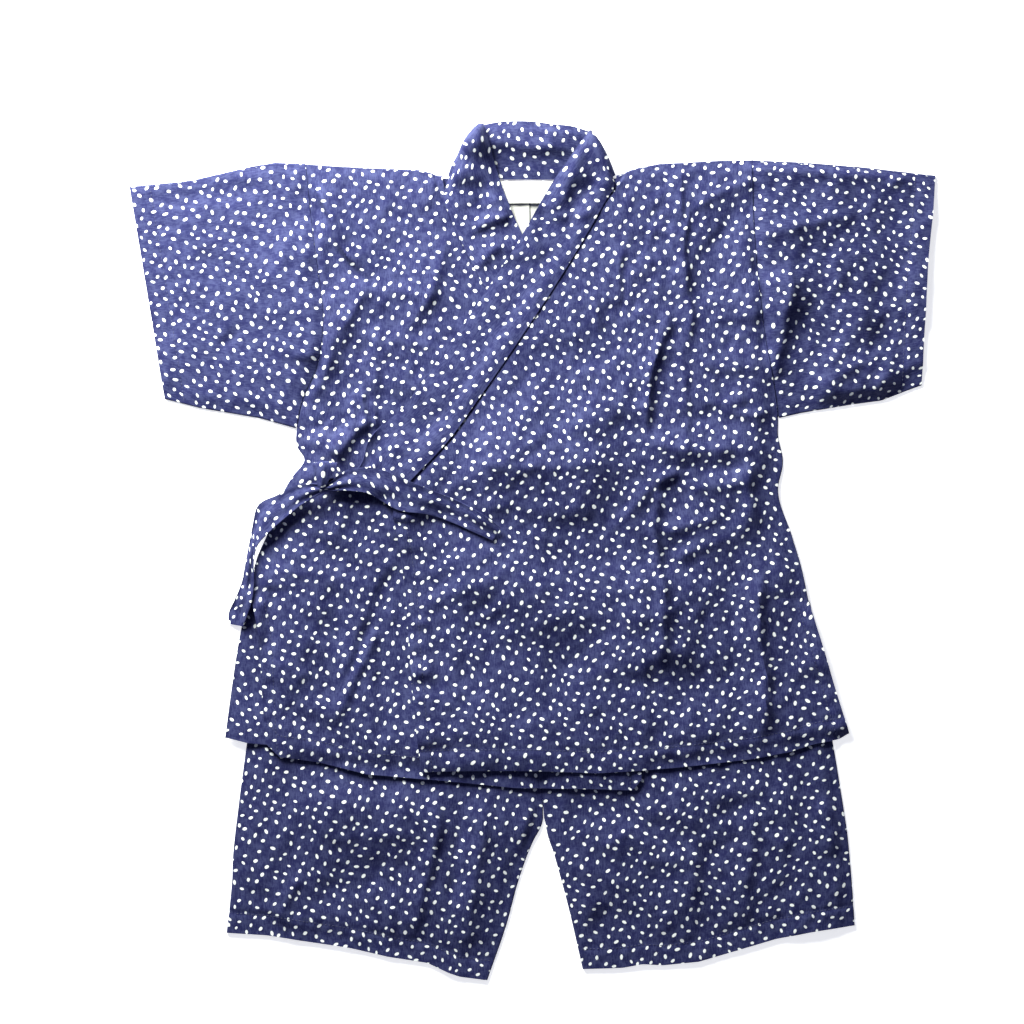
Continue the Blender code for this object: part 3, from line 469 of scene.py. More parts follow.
class JinbeiPrintSettings(bpy.types.PropertyGroup):
    """The printed cotton: rice-grain dots on navy."""
    ground: FloatVectorProperty(
        name="Ground", description="Colour of the dyed cloth", subtype="COLOR", size=4,
        min=0, max=1, default=(0.0128, 0.0147, 0.0735, 1))
    ground_worn: FloatVectorProperty(
        name="Lighter ground", description="Colour of its lighter threads", subtype="COLOR", size=4,
        min=0, max=1, default=(0.0372, 0.0425, 0.1225, 1))
    dots: FloatVectorProperty(
        name="Dots", description="Colour of the printed dots", subtype="COLOR", size=4,
        min=0, max=1, default=(0.84, 0.87, 0.89, 1))
    pitch: FloatProperty(
        name="Pitch", description="Mean distance between dots", default=0.0083, min=0.003, max=0.05,
        unit="LENGTH")
    half_length: FloatProperty(
        name="Half length", description="Half the length of a dot", default=0.00167, min=0.0005,
        max=0.01, unit="LENGTH")
    half_width: FloatProperty(
        name="Half width", description="Half the width of a dot", default=0.00108, min=0.0005,
        max=0.01, unit="LENGTH")
    lean: FloatProperty(
        name="Lean", description="Mean direction of the dots, from the weft", default=0.80,
        subtype="ANGLE", unit="ROTATION")
    spread: FloatProperty(
        name="Spread", description="How far the dots turn from it", default=0.84, min=0, max=1.6,
        subtype="ANGLE", unit="ROTATION")
    label: FloatVectorProperty(
        name="Label", description="Colour of the label tape", subtype="COLOR", size=4,
        min=0, max=1, default=(0.82, 0.82, 0.80, 1))
    thread: FloatVectorProperty(
        name="Thread", description="Colour of the sewing thread", subtype="COLOR", size=4,
        min=0, max=1, default=(0.018, 0.022, 0.070, 1))


class JinbeiStageSettings(bpy.types.PropertyGroup):
    """The floor, the lamp and the camera."""
    lamp_place: FloatVectorProperty(
        name="Lamp", description="Place of the lamp", default=(-0.49, 0.91, 0.45), size=3,
        subtype="TRANSLATION", unit="LENGTH")
    lamp_size: FloatProperty(
        name="Lamp size", description="Width of the square lamp", default=0.60, min=0.05, max=3,
        unit="LENGTH")
    lamp_power: FloatProperty(
        name="Lamp power", description="Power of the lamp", default=62.0, min=0, subtype="POWER",
        unit="POWER")
    fill: FloatProperty(
        name="Fill", description="Strength of the light from all round", default=0.15, min=0, max=5)
    floor: FloatVectorProperty(
        name="Floor", description="Colour of the floor", subtype="COLOR", size=4, min=0, max=1,
        default=(0.92, 0.92, 0.93, 1))
    glow: FloatProperty(
        name="Glow", description="Light that the floor gives by itself, which thins the shadows",
        default=0.75, min=0, max=3)
    centre: FloatVectorProperty(
        name="Centre", description="Point of the floor at the middle of the picture",
        default=(-0.0164, 0.0312), size=2, subtype="XYZ", unit="LENGTH")
    width: FloatProperty(
        name="Width", description="Width of the picture at the floor", default=0.8192, min=0.1,
        max=5, unit="LENGTH")
    lens: FloatProperty(
        name="Lens", description="Focal length in millimetres", default=100.0, min=20, max=300)


# ---------------------------------------------------------------- the pile

def around(height, steps, measure, times=1):
    """A measure of a map within a number of cells, along one axis and then the other."""
    for axis in (0, 1) * times:
        ways = [np.roll(height, step, axis) for step in range(-steps, steps + 1)]
        height = measure(ways, axis=0)
    return height


def divided(points, pieces, axis):
    """The same sheet with each strip cut into a number of narrower ones."""
    points = np.moveaxis(points, axis, 0)
    step = np.linspace(0, 1, pieces, endpoint=False)
    strips = points[:-1, None] + (points[1:] - points[:-1])[:, None] * step.reshape(
        1, -1, *([1] * (points.ndim - 1)))
    strips = strips.reshape(-1, *points.shape[1:])
    return np.moveaxis(np.concatenate((strips, points[-1:])), 0, axis)


def bilinear(field, xy):
    """The height of a map at each point, between its four nearest cells."""
    where = (xy + HALF_MAP) / CELL
    low = np.clip(np.floor(where).astype(int), 0, MAP_SHAPE - 2)
    part = where - low
    i, j = low[..., 0], low[..., 1]
    a, b = part[..., 0], part[..., 1]
    return (field[i, j] * (1 - a) * (1 - b) + field[i + 1, j] * a * (1 - b)
            + field[i, j + 1] * (1 - a) * b + field[i + 1, j + 1] * a * b)


class Pile:
    """The height of the cloth laid so far."""

    def __init__(self):
        self.height = np.zeros(MAP_SHAPE)

    def rest(self, xy, gap, reach, ease):
        """Height at which the underside of a sheet comes to rest: the largest height within
        reach, averaged within ease three times over, plus the gap where anything lies there."""
        steps = max(1, int(round(ease / CELL)))
        highest = around(self.height, int(round(reach / CELL)) + steps, np.max)
        height = bilinear(around(highest, steps, np.mean, 3), xy)
        return height + gap * np.clip(height, 0, 1)

    def lay(self, points, wall):
        """Raises the pile to the top of a sheet."""
        for axis in (0, 1):
            longest = np.linalg.norm(np.diff(points[..., :2], axis=axis), axis=-1).max()
            points = divided(points, int(longest / (0.6 * CELL)) + 1, axis)
        cell = np.rint((points[..., :2] + HALF_MAP) / CELL).astype(int)
        np.maximum.at(self.height, (cell[..., 0], cell[..., 1]), points[..., 2] + wall / 2)


# ---------------------------------------------------------------- curves and relief

def distance_along(points, axis=0):
    """Distance of each point of a line from its first, or of each line of a sheet."""
    steps = np.linalg.norm(np.diff(points, axis=axis), axis=-1)
    return np.insert(np.cumsum(steps, axis=axis), 0, 0.0, axis=axis)


def spline(table, at):
    """Smooth curve through a table whose first column is the position along it: between two
    rows a cubic whose end slopes are the mean slopes there."""
    table = np.asarray(table, dtype=float)
    knots, values = table[:, 0], table[:, 1:]
    slope = np.gradient(values, knots, axis=0)
    i = np.clip(np.searchsorted(knots, at, side="right") - 1, 0, len(knots) - 2)
    span = (knots[i + 1] - knots[i])[:, None]
    t = ((at - knots[i]) / span[:, 0])[:, None]
    return ((2 * t**3 - 3 * t**2 + 1) * values[i] + (t**3 - 2 * t**2 + t) * span * slope[i]
            + (3 * t**2 - 2 * t**3) * values[i + 1] + (t**3 - t**2) * span * slope[i + 1])


def along(table, step):
    """Rows a step apart along a strip, from a table of its two edges (x, y, x, y, …), and their
    distance from its start."""
    table = np.asarray(table, dtype=float)
    length = distance_along((table[:, 0:2] + table[:, 2:4]) / 2)
    at = np.linspace(0, length[-1], int(np.ceil(length[-1] / step)) + 1)
    return spline(np.column_stack((length, table)), at), at


def smooth(value):
    """Eases from 0 to 1 as the value does."""
    value = np.clip(value, 0, 1)
    return value * value * (3 - 2 * value)


def off_ends(share, steep):
    """0 at both ends of a share from 0 to 1, and 1 away from them."""
    return smooth(share * steep) * smooth((1 - share) * steep)


def at_least(low, share):
    """Rises from a low value to 1 as a share rises from 0."""
    return low + (1 - low) * share


def lofted(kind, distance):
    """Share of the loft at a distance from a free edge."""
    low, width = LOFTED[kind]
    return at_least(low, smooth(distance / width))


def above_zero(value, softness=0.35):
    """The value where it is well above zero, and near zero where it is below."""
    return softness * np.logaddexp(0, value / softness)


def wander(xy):
    """The points moved a little by slow waves, so that lines drawn over them aren't straight."""
    x, y = xy[..., 0], xy[..., 1]
    along_x = 2.2 * np.sin(y / 17 + 1.3 * np.sin(x / 41)) + 0.8 * np.sin(y / 6.1 + x / 23)
    along_y = 2.0 * np.sin(x / 19 + 1.1 * np.sin(y / 37)) + 0.8 * np.sin(x / 7.3 - y / 29)
    return xy + np.stack((along_x, along_y), axis=-1)


def creased(xy, names):
    """Height of all creases of the named tables. Each falls from a parabola through its three
    points, with q the distance from it in half widths, less on the steep side: a trough and a
    wide ridge as exp(-q^2), a narrow ridge as exp(-1.15 q) with its crest just rounded. It
    fades to nothing at both ends and three widths away."""
    flat = wander(xy).reshape(-1, 2)
    total = np.zeros(len(flat))
    t = np.linspace(0, 1, CREASE_POINTS)[:, None]
    for x0, y0, x1, y1, x2, y2, height, width, lean in sum((CREASES[name] for name in names), ()):
        a, b, c = np.array((x0, y0)), np.array((x1, y1)), np.array((x2, y2))
        line = (1 - t) * (1 - 2 * t) * a + 4 * t * (1 - t) * b + t * (2 * t - 1) * c
        low, high = line.min(0) - 3 * width, line.max(0) + 3 * width
        near = np.flatnonzero(((flat > low) & (flat < high)).all(-1))
        start, run = line[:-1], np.diff(line, axis=0)
        offset = flat[near, None] - start
        share = np.clip((offset * run).sum(-1) / (run * run).sum(-1), 0, 1)
        apart = offset - share[..., None] * run
        distance = np.linalg.norm(apart, axis=-1)
        best = distance.argmin(1)
        row = np.arange(len(near))
        side = np.sign(run[best, 0] * apart[row, best, 1] - run[best, 1] * apart[row, best, 0])
        reach = width * (1 + 0.85 * lean * side)
        place = (best + share[row, best]) / (CREASE_POINTS - 1)
        q = distance[row, best] / reach
        if width < WIDE_CREASE and height > 0:
            shape = np.exp(-1.15 * (np.sqrt(q * q + 0.03) - 0.17))
        else:
            shape = np.exp(-q * q)
        fade = off_ends(place, 3.6) * smooth(3 - distance[row, best] / width)
        total[near] += height * shape * fade
    return total.reshape(xy.shape[:-1])


def rumpled(xy, seed):
    """A light rumple of about unit height: plane waves of random length, most of them across
    the warp, bent by slower waves and each strong in some places only. A third of them are
    sharp-crested."""
    chance = np.random.default_rng(seed)
    x, y = xy[..., 0], xy[..., 1]
    total = np.zeros(xy.shape[:-1])
    for number in range(WAVES):
        length = np.exp(chance.uniform(np.log(9.5), np.log(70)))
        angle = chance.normal(0, 0.6) if number % 3 else chance.uniform(0, np.pi)
        phase, bend, place, other = chance.uniform(0, 2 * np.pi, 4)
        across = x * np.cos(angle) + y * np.sin(angle)
        down = y * np.cos(angle) - x * np.sin(angle)
        turn = (2 * np.pi * across / length + phase + 1.5 * np.sin(down / (1.5 * length) + bend)
                + 0.7 * np.sin(down / (0.6 * length) + across / (2 * length) + other))
        wave = np.sin(turn)
        if number % 3 == 0:
            wave = 1.2 - 2.2 * np.sqrt(np.abs(wave) ** 2 + 0.02)
        strong = smooth(0.45 + 0.9 * np.sin(across / 31 + place) * np.cos(down / 37 - place)
                        + 0.4 * np.sin(down / 17 + other))
        total += wave * strong * (length / 40) ** 1.05
    return total / np.sqrt(WAVES / 3)


def hem_relief(from_edge, width, along_edge):
    """A turned hem: thicker up to its stitches, with a groove along them and small puckers."""
    past = from_edge - width
    thick = 0.3 * smooth(0.5 - past / 1.6)
    groove = -0.6 * np.exp(-(past / 1.9) ** 2)
    wave = np.sin(along_edge / 1.9 + 1.7 * np.sin(along_edge / 13))
    wave = wave * (0.6 + 0.4 * np.sin(along_edge / 29))
    return thick + groove + 0.32 * wave * np.exp(-(past / 7) ** 2)


# ---------------------------------------------------------------- sheets of points

def panel(inner, outer, across):
    """Straight rows from the inner to the outer edge, with points at shares of the way."""
    return inner[:, None] + (outer - inner)[:, None] * across[None, :, None]


def above_line(xy, line):
    """How far points stand above a line of (x, y), such as a hem."""
    line = np.asarray(sorted(line), dtype=float)
    return xy[..., 1] - np.interp(xy[..., 0], line[:, 0], line[:, 1])


def bend_end(xy, end_row, line, weight):
    """Moves the rows near an end so that the end row follows a line of (x, y)."""
    xy[..., 1] -= weight[:, None] * above_line(xy[end_row], line)
    return xy


def raised(xy, z):
    """Points at a height."""
    return np.concatenate((xy, np.broadcast_to(z, xy.shape[:-1])[..., None]), axis=-1)


def turned_edge(layer, other, away, closed, further=0.0, count=4):
    """Columns past a layer's edge: down a quarter circle where it is closed, else flat, and
    there further than the other layer, so that their seams don't stand one over the other."""
    edge, far = layer[:, -1], other[:, -1]
    radius = (edge[:, 2] - far[:, 2]) / 2
    columns = []
    for angle in np.linspace(0, np.pi / 2, count + 1)[1:]:
        round_point, flat_point = edge.copy(), edge.copy()
        round_point[:, 0] += away * FOLD_INSET * np.sin(angle)
        round_point[:, 2] -= radius * (1 - np.cos(angle))
        flat_point[:, 0] += away * (FOLD_INSET + further) * angle / (np.pi / 2)
        columns.append(np.where(closed[:, None], round_point, flat_point))
    return np.stack(columns, axis=1)


def fold_rows(first, second, outward, turn=7):
    """Rows of a half circle that joins the ends of two layers, bulging outward."""
    centre, half = (first + second) / 2, (first - second) / 2
    radius = np.linalg.norm(half, axis=-1, keepdims=True)
    angle = (np.pi * np.arange(1, turn + 1) / (turn + 1))[:, None, None]
    return centre + half * np.cos(angle) + np.array((*outward, 0.0)) * radius * np.sin(angle)


def unit(vectors):
    """Vectors of length one."""
    return vectors / np.linalg.norm(vectors, axis=-1, keepdims=True)


def line_at(points, distance, target, axis):
    """The line across a sheet on which a distance has a value, one point for each row or
    column, between the two grid points where the distance passes it."""
    points, distance = np.moveaxis(points, axis, 0), np.moveaxis(distance, axis, 0)
    rising = distance if distance[0].mean() < distance[-1].mean() else distance[::-1]
    ordered = points if rising is distance else points[::-1]
    i = np.clip((rising > target).argmax(axis=0), 1, len(rising) - 1)
    j = np.arange(len(i))
    part = (target - rising[i - 1, j]) / (rising[i, j] - rising[i - 1, j])
    return ordered[i - 1, j] + (ordered[i, j] - ordered[i - 1, j]) * np.clip(part, 0, 1)[:, None]


# ---------------------------------------------------------------- laying the set

class Layout:
    """Works out every sheet of the set, name -> list of (points, print coordinates), and the
    stitches, name -> list of lines of points."""

    def __init__(self, cloth):
        self.grid = cloth.grid / MM
        self.hidden = cloth.hidden_grid / MM
        self.rumple = cloth.rumple / MM
        self.crease = cloth.crease
        self.seed = cloth.seed
        self.wall = cloth.wall / MM
        self.pile = Pile()
        self.sheets, self.stitches = {}, {}
        self.lay_shorts()
        self.lay_jacket()
        self.lay_ties()

    def relief(self, xy, inside, shown, *names):
        """Creases and rumple over the resting height, never below it. Inside is the share of the
        loft, low at a free edge and 1 away from it. Shown is 0 where another piece covers it."""
        number = sorted(CREASES).index(names[0])
        height = self.crease * creased(xy, names)
        height = height + self.rumple * RUMPLED[names[0]] * rumpled(xy, self.seed + number)
        return above_zero((height + LOFT * inside) * shown - EASED)

    def lay_shorts(self):
        """Both legs, and the waistband past them."""
        for side in ("right", "left"):
            self.lay_leg(side)
        self.lay_waistband()

    def lay_leg(self, side):
        """A trouser leg: a flat tube below the crotch, open at the centre seam above it. Its rows
        run straight from the inner to the outer edge, and those near the hem bend to follow
        it."""
        cut = LEGS[side]
        away = cut["away"]
        low = np.linspace(0, LEG_SHOWN, int(LEG_LOW / self.grid))
        high = np.linspace(LEG_SHOWN, 2, int(LEG_HIGH / self.hidden))[1:]
        station = np.concatenate((low, high))
        inner, outer = spline(cut["inner"], station), spline(cut["outer"], station)
        closed = station <= 1
        clear = np.maximum(away * (inner[:, 0] - CENTRE_SHORTS), 0) + closed * CLOTH / 2
        inner[:, 0] = CENTRE_SHORTS + away * (clear + LEG_CLEAR + FOLD_INSET)
        outer[:, 0] -= away * FOLD_INSET
        layers = []
        for step in (self.hidden, self.grid):
            xy = panel(inner, outer, np.linspace(0, 1, int(LEG_WIDTH / step) + 1))
            layers.append(bend_end(xy, 0, cut["hem"], np.clip(1 - station, 0, 1) ** 2))
        back, xy = raised(layers[0], CLOTH / 2), layers[1]
        self.pile.lay(back, CLOTH)
        edge = at_least(FOLD_LOW, off_ends(np.linspace(0, 1, xy.shape[1]), 15))
        from_hem = above_line(xy, cut["hem"])
        shown = smooth((SHORTS_SHOWN - xy[..., 1]) / 25)
        height = self.relief(xy, lofted("leg", from_hem), shown, "leg_" + side) * edge
        height = height + hem_relief(from_hem, LEG_HEM, xy[..., 0])
        front = raised(xy, CLOTH * 1.5 + FOLD_ROOM + height)
        self.pile.lay(front, CLOTH)
        self.stitches["leg_" + side] = [line_at(front, from_hem, LEG_HEM, 0)]

        side_fold = np.moveaxis(fold_rows(front[:, -1], back[:, -1], (away, 0)), 0, 1)
        front_turn = turned_edge(front[:, ::-1], back[:, ::-1], -away, closed, 0.5 * away)[:, ::-1]
        back_turn = turned_edge(back[:, ::-1], front[:, ::-1], -away, closed)
        ring = np.concatenate((front_turn, front, side_fold, back[:, ::-1], back_turn), axis=1)
        u = ring[:, :1, 0] + away * distance_along(ring[..., :2], 1)
        coordinates = np.stack((u, ring[..., 1]), axis=-1) + PRINT_START["leg_" + side]
        self.sheets["leg_" + side] = [(ring, coordinates)]

    def lay_waistband(self):
        """The gathered waistband: a flat ring whose front waves along its length, as
        (1 - cos t) / 2 with gathers of uneven width."""
        count = GATHERS * 8
        x = np.linspace(SHORTS_BAND_RIGHT, SHORTS_BAND_LEFT, count + 1)
        y = np.linspace(SHORTS_TOP + 2 * SEAM, SHORTS_TOP + SHORTS_BAND_HEIGHT, 9)
        xy = np.stack(np.meshgrid(x, y), axis=-1)
        turn = 2 * np.pi * GATHERS * np.linspace(0, 1, count + 1)
        wave = 0.5 * (1 - np.cos(turn + 0.8 * np.sin(turn / 5)))
        back = raised(xy, CLOTH / 2)
        front = raised(xy, CLOTH * 1.5 + FOLD_ROOM + GATHER_HEIGHT * wave[None, :])
        self.pile.lay(front, CLOTH)
        left_turn = np.moveaxis(fold_rows(front[:, -1], back[:, -1], (1, 0)), 0, 1)
        right_turn = np.moveaxis(fold_rows(back[:, 0], front[:, 0], (-1, 0)), 0, 1)
        ring = np.concatenate((front, left_turn, back[:, ::-1], right_turn, front[:, :1]), axis=1)
        coordinates = np.stack((distance_along(ring, 1), ring[..., 1]), axis=-1)
        self.sheets["waistband"] = [(ring, coordinates)]

    # ------------------------------------------------------------ jacket

    def body_stations(self):
        """Stations of a jacket half's rows, about a grid step apart."""
        counts = [int(np.ceil(length / self.grid)) for length in STATION_LENGTHS]
        parts = [np.linspace(k, k + 1, count, endpoint=False) for k, count in enumerate(counts)]
        return np.concatenate(parts + [[3.0]])

    def body_outline(self, cut, layer, inner, across):
        """Rows of one half of the jacket's back or front, from its hem up to its top edge."""
        station = self.body_stations()
        outer = spline(cut["side"], np.maximum(station, 1))
        below = station < 1
        outer[below] = spline(cut[layer + "_slit"], station[below])
        outer[:, 0] -= cut["away"] * FOLD_INSET
        xy = panel(inner, outer, across)
        xy = bend_end(xy, 0, cut[layer + "_hem"], np.clip(1 - station, 0, 1) ** 2)
        xy = bend_end(xy, -1, cut["top"], np.clip((station - 2.3) / 0.7, 0, 1) ** 2)
        past_neck = cut["away"] * (xy[-1, :, 0] - cut["neck"])
        xy[-1, :, 1] -= FOLD_INSET * smooth(past_neck / 20 + 1)
        return xy

    def back_half(self, side):
        """A back, whose top row runs along the neckline and then the shoulder fold."""
        cut = SIDES[side]
        station = self.body_stations()
        centre = CENTRE_BACK + cut["away"] * SEAM
        height = np.interp(station, *np.transpose(CENTRE_BACK_HEIGHTS))
        inner = np.column_stack((np.full(len(station), centre), height))
        shoulder_end = cut["side"][-1][1] - cut["away"] * FOLD_INSET
        share = (cut["neck"] - centre) / (shoulder_end - centre)
        neck = np.linspace(0, share, int(NECK_WIDTH / self.hidden) + 1)[:-1]
        self.neck_columns = len(neck)
        across = np.concatenate((neck, np.linspace(share, 1, self.front_columns(side))))
        xy = self.body_outline(cut, "back", inner, across)
        half = raised(xy, self.pile.rest(xy, LAY_GAP, 16, 6) + CLOTH / 2)
        self.pile.lay(half, CLOTH)
        return half

    def front_columns(self, side):
        """Number of columns of a front and of the part of its back below the shoulder."""
        return int(FRONT_WIDTH[side] / self.grid) + 1

    def front_half(self, side):
        """A front, which rests on all that lies inside the jacket. It is pressed flat along its
        seams and where the band covers it, with a ledge beside the band, and its hems are
        turned."""
        cut = SIDES[side]
        away = cut["away"]
        station = self.body_stations()
        inner = spline(cut["front_edge"], station)
        under_band = smooth((station - 1.5) / 0.15) * smooth((3 - station) / 0.2)
        inner[:, 0] -= away * BAND_TUCK * under_band
        across = np.linspace(0, 1, self.front_columns(side))
        xy = self.body_outline(cut, "front", inner, across)
        rows = station[:, None]
        near_fold = np.maximum(smooth((rows - 2.7) / 0.3), smooth((across - 0.8) / 0.2))
        gap = LAY_GAP + (FOLD_ROOM - LAY_GAP) * near_fold

        from_edge = away * (xy[..., 0] - xy[:, :1, 0])
        from_hem = above_line(xy, cut["front_hem"])
        from_slit = away * (xy[:, -1:, 0] - xy[..., 0]) + FAR * (rows > SLIT_TOP)
        from_front = from_edge + FAR * (rows > FRONT_HEM_TOP)
        inside = lofted("front", np.minimum(np.minimum(from_hem, from_slit + 8), from_front + 4))

        sewn = smooth((rows - 0.9) / 0.1) * smooth((2.12 - rows) / 0.12)
        pressed = 1 - (1 - FOLD_LOW) * sewn * (1 - smooth((1 - across) * 14))
        pressed = pressed * at_least(SEAM_LOW, smooth((3 - rows) * 24))
        tucked = smooth((rows - 1.5) / 0.1)
        from_neck = from_edge * 0.8
        pressed = pressed * (1 - 0.7 * tucked * (1 - smooth((from_neck - 4) / 50)))
        ledge = LEDGE * tucked * smooth((from_neck - 4.9) / 1.8) * smooth((70 - from_neck) / 60)

        shown = 1.0
        if side == "right":
            over = np.asarray(EDGE_FRONT_LEFT, dtype=float)
            over = np.interp(xy[..., 1], over[:, 2], over[:, 1])
            shown = smooth((over + 16 - xy[..., 0]) / 14)
        height = self.relief(xy, inside, shown, "front_" + side, side + "_shoulder") * pressed
        height = height + ledge + hem_relief(from_hem, HEM, xy[..., 0])
        for distance, top in ((from_slit, SLIT_TOP), (from_front, FRONT_HEM_TOP)):
            turned = hem_relief(distance, NARROW_HEM, xy[..., 1])
            height = height + turned * smooth((top - rows) * 14)
        half = raised(xy, self.pile.rest(xy, gap, 4.5, 2) + CLOTH / 2 + height)
        self.pile.lay(half, CLOTH)
        at_slit, at_front = station < 1, station < (1.5 if side == "left" else 0.4)
        self.stitches["body_" + side] = [
            line_at(half, from_hem, HEM, 0),
            line_at(half, from_slit, NARROW_HEM, 1)[at_slit],
            line_at(half, from_front, NARROW_HEM, 1)[at_front],
        ]
        return half

    def join_body(self, side, back, front):
        """Back and front in one: folded at the shoulder, sewn down the side to the slit."""
        station, away = self.body_stations(), SIDES[side]["away"]
        closed = (station >= 1) & (station <= 2)
        back_turn = turned_edge(back, front, away, closed, SEAM_STEP)
        front_turn = turned_edge(front, back, away, closed)
        back = np.concatenate((back, back_turn), axis=1)
        front = np.concatenate((front, front_turn), axis=1)
        start = np.array(PRINT_START["body_" + side])
        back_print = back[..., :2] * (1.0, -1.0) + (start + (0.0, 2 * SHOULDER))
        front_print = front[..., :2] + start
        first, first_print = back[-1, self.neck_columns:], back_print[-1, self.neck_columns:]
        fold = fold_rows(first, front[-1], (0, 1))
        part = (np.arange(1, len(fold) + 1) / (len(fold) + 1))[:, None, None]
        fold_print = first_print * (1 - part) + front_print[-1] * part
        over = np.concatenate((first[None], fold, front[::-1]))
        over_print = np.concatenate((first_print[None], fold_print, front_print[::-1]))
        self.sheets["body_" + side] = [(back, back_print), (over, over_print)]

    def lay_sleeve(self, side, front_body):
        """A flat tube from the armhole to the cuff, in straight rows between them that bend near
        its top and underarm edges. Its front meets the body's front at their seam."""
        cut = SIDES[side]
        away = cut["away"]
        station = np.linspace(2, 3, int(SLEEVE_HEIGHT / self.grid))
        armhole, cuff = spline(cut["side"], station), spline(cut["cuff"], station)
        armhole[:, 0] += away * (SEAM + 0.5 * CLOTH * np.clip((2.2 - station) / 0.1, 0, 1))
        columns = int(SLEEVE_WIDTH / self.grid) + 1
        across = np.linspace(0, 1, columns)
        xy = panel(armhole, cuff, across)
        xy = bend_end(xy, -1, cut["sleeve_top"], smooth((station - 2.5) * 2))
        xy = bend_end(xy, 0, cut["underarm"], smooth((2.5 - station) * 2))
        xy[-1, :, 1] -= FOLD_INSET
        xy[0, :, 1] += FOLD_INSET
        edge = at_least(SEAM_LOW, smooth((station - 2) * 16) * smooth((3 - station) * 22))
        from_cuff = away * (xy[:, -1:, 0] - xy[..., 0])
        inside = lofted("sleeve", from_cuff)
        height = self.relief(xy, inside, 1.0, "sleeve_" + side, side + "_shoulder")
        height = (height + hem_relief(from_cuff, SLEEVE_HEM, xy[..., 1])) * edge[:, None]
        beside = np.interp(station, self.body_stations(), front_body[:, -1, 2])[:, None]
        at_seam = beside + SLEEVE_STEP[side] + height - height[:, :1]
        meet = smooth(1 - across * 3.2)
        z = (CLOTH * 1.5 + FOLD_ROOM + height) * (1 - meet) + at_seam * meet
        front = raised(xy, np.maximum(z, CLOTH * 1.5 + CLEAR))
        back = raised(xy, CLOTH / 2)
        back[..., 0] += away * SEAM_STEP * (1 - across)
        self.stitches["sleeve_" + side] = [line_at(front, from_cuff, SLEEVE_HEM, 1)]

        under = fold_rows(front[0], back[0], (0, -1))
        over = fold_rows(back[-1], front[-1], (0, 1))
        ring = np.concatenate((front[::-1], under, back, over, front[-1:]))
        v = distance_along(ring[:, columns // 2])[:, None] + np.zeros(columns)
        coordinates = np.stack((-v, -ring[..., 0]), axis=-1) + PRINT_START["sleeve"]
        self.sheets["sleeve_" + side] = [(ring, coordinates)]

    def band_stretch(self, table, gap, start, gathered=False, tilt=0.0, crown=BAND_CROWN):
        """A stretch of the band on the pile: rows along it, points from free to seam edge. Its
        free edge stands higher by the tilt, and near the neck its middle by the crown. Its seam
        edge sinks into the front, and the knot gathers the end of the over side."""
        rows, at = along(table, self.grid * 0.9)
        share = np.linspace(0, 1, BAND_COLUMNS)[None, :]
        xy = panel(rows[:, 0:2], rows[:, 2:4], share[0])
        sewn = smooth((share - 0.74) * 4.5)
        z = self.pile.rest(xy, 0, 4.5, 2) * (1 - sewn) + self.pile.rest(xy, 0, 1.0, 1.0) * sewn
        from_neck = (at[-1] - at if gathered else at)[:, None]
        z = z + BAND_WALL / 2 + LAY_GAP + gap * smooth(1 - from_neck / 30)
        z = z + crown * 4 * share * (1 - share) * smooth(1 - from_neck / 55)
        soft = self.rumple * 0.4 * above_zero(rumpled(xy, self.seed + 40) + 0.8)
        rolled = BAND_ROLL * (smooth(share * 7) + smooth((1 - share) * 7) - 1)
        folds = self.crease * creased(xy, ("collar_band",)) * off_ends(share, 6)
        z = z + soft * off_ends(share, 8) + rolled + above_zero(folds + 0.5)
        z = z + tilt * (1 - share) ** 1.3 - BAND_SINK * smooth((share - 0.9) * 12)
        if gathered:
            turn = np.pi * (2.7 * share + 0.1 + 0.1 * np.sin(at / 9)[:, None])
            crest = 1 - np.sqrt(np.sin(turn) ** 2 + 0.02)
            z = z + KNOT_GATHER * smooth(1 - at / 70)[:, None] * crest
        stretch = raised(xy, z)
        self.pile.lay(stretch, BAND_WALL)
        width = np.linalg.norm(rows[:, 2:4] - rows[:, 0:2], axis=-1)[:, None]
        coordinates = np.stack((width * share, at[:, None] + start + 0 * share), axis=-1)
        return stretch, coordinates

    def lay_collar(self, stretches):
        """The band as one strip: over, round the back of the neck and under, turned over at
        each side of the neck, where the print starts afresh on its other face."""
        (over, over_print), (back, back_print), (under, under_print) = stretches
        neck = back[..., :2].mean(axis=(0, 1))

        def turn(low, high):
            line = unit(low[-1, :2] - low[0, :2])
            outward = np.array((-line[1], line[0]))
            outward *= np.sign(outward @ (low[:, :2].mean(axis=0) - neck))
            return fold_rows(low, high, outward)

        left, right = turn(back[0], over[-1])[::-1], turn(back[-1], under[0])
        on = np.array((0.0, TURN_STEP))
        steps = np.arange(1, len(left) + 1)[:, None, None] * on
        back_print = back_print * (-1.0, 1.0) + PRINT_START["band_back"]
        back_print = np.concatenate((back_print[:1] - on, back_print, back_print[-1:] + on))
        self.sheets["collar_band"] = [
            (np.concatenate((over, left)), np.concatenate((over_print, over_print[-1] + steps))),
            (np.concatenate((left[-1:], back, right[:1])), back_print),
            (np.concatenate((right, under)),
             np.concatenate((under_print[0] - steps[::-1], under_print))),
        ]

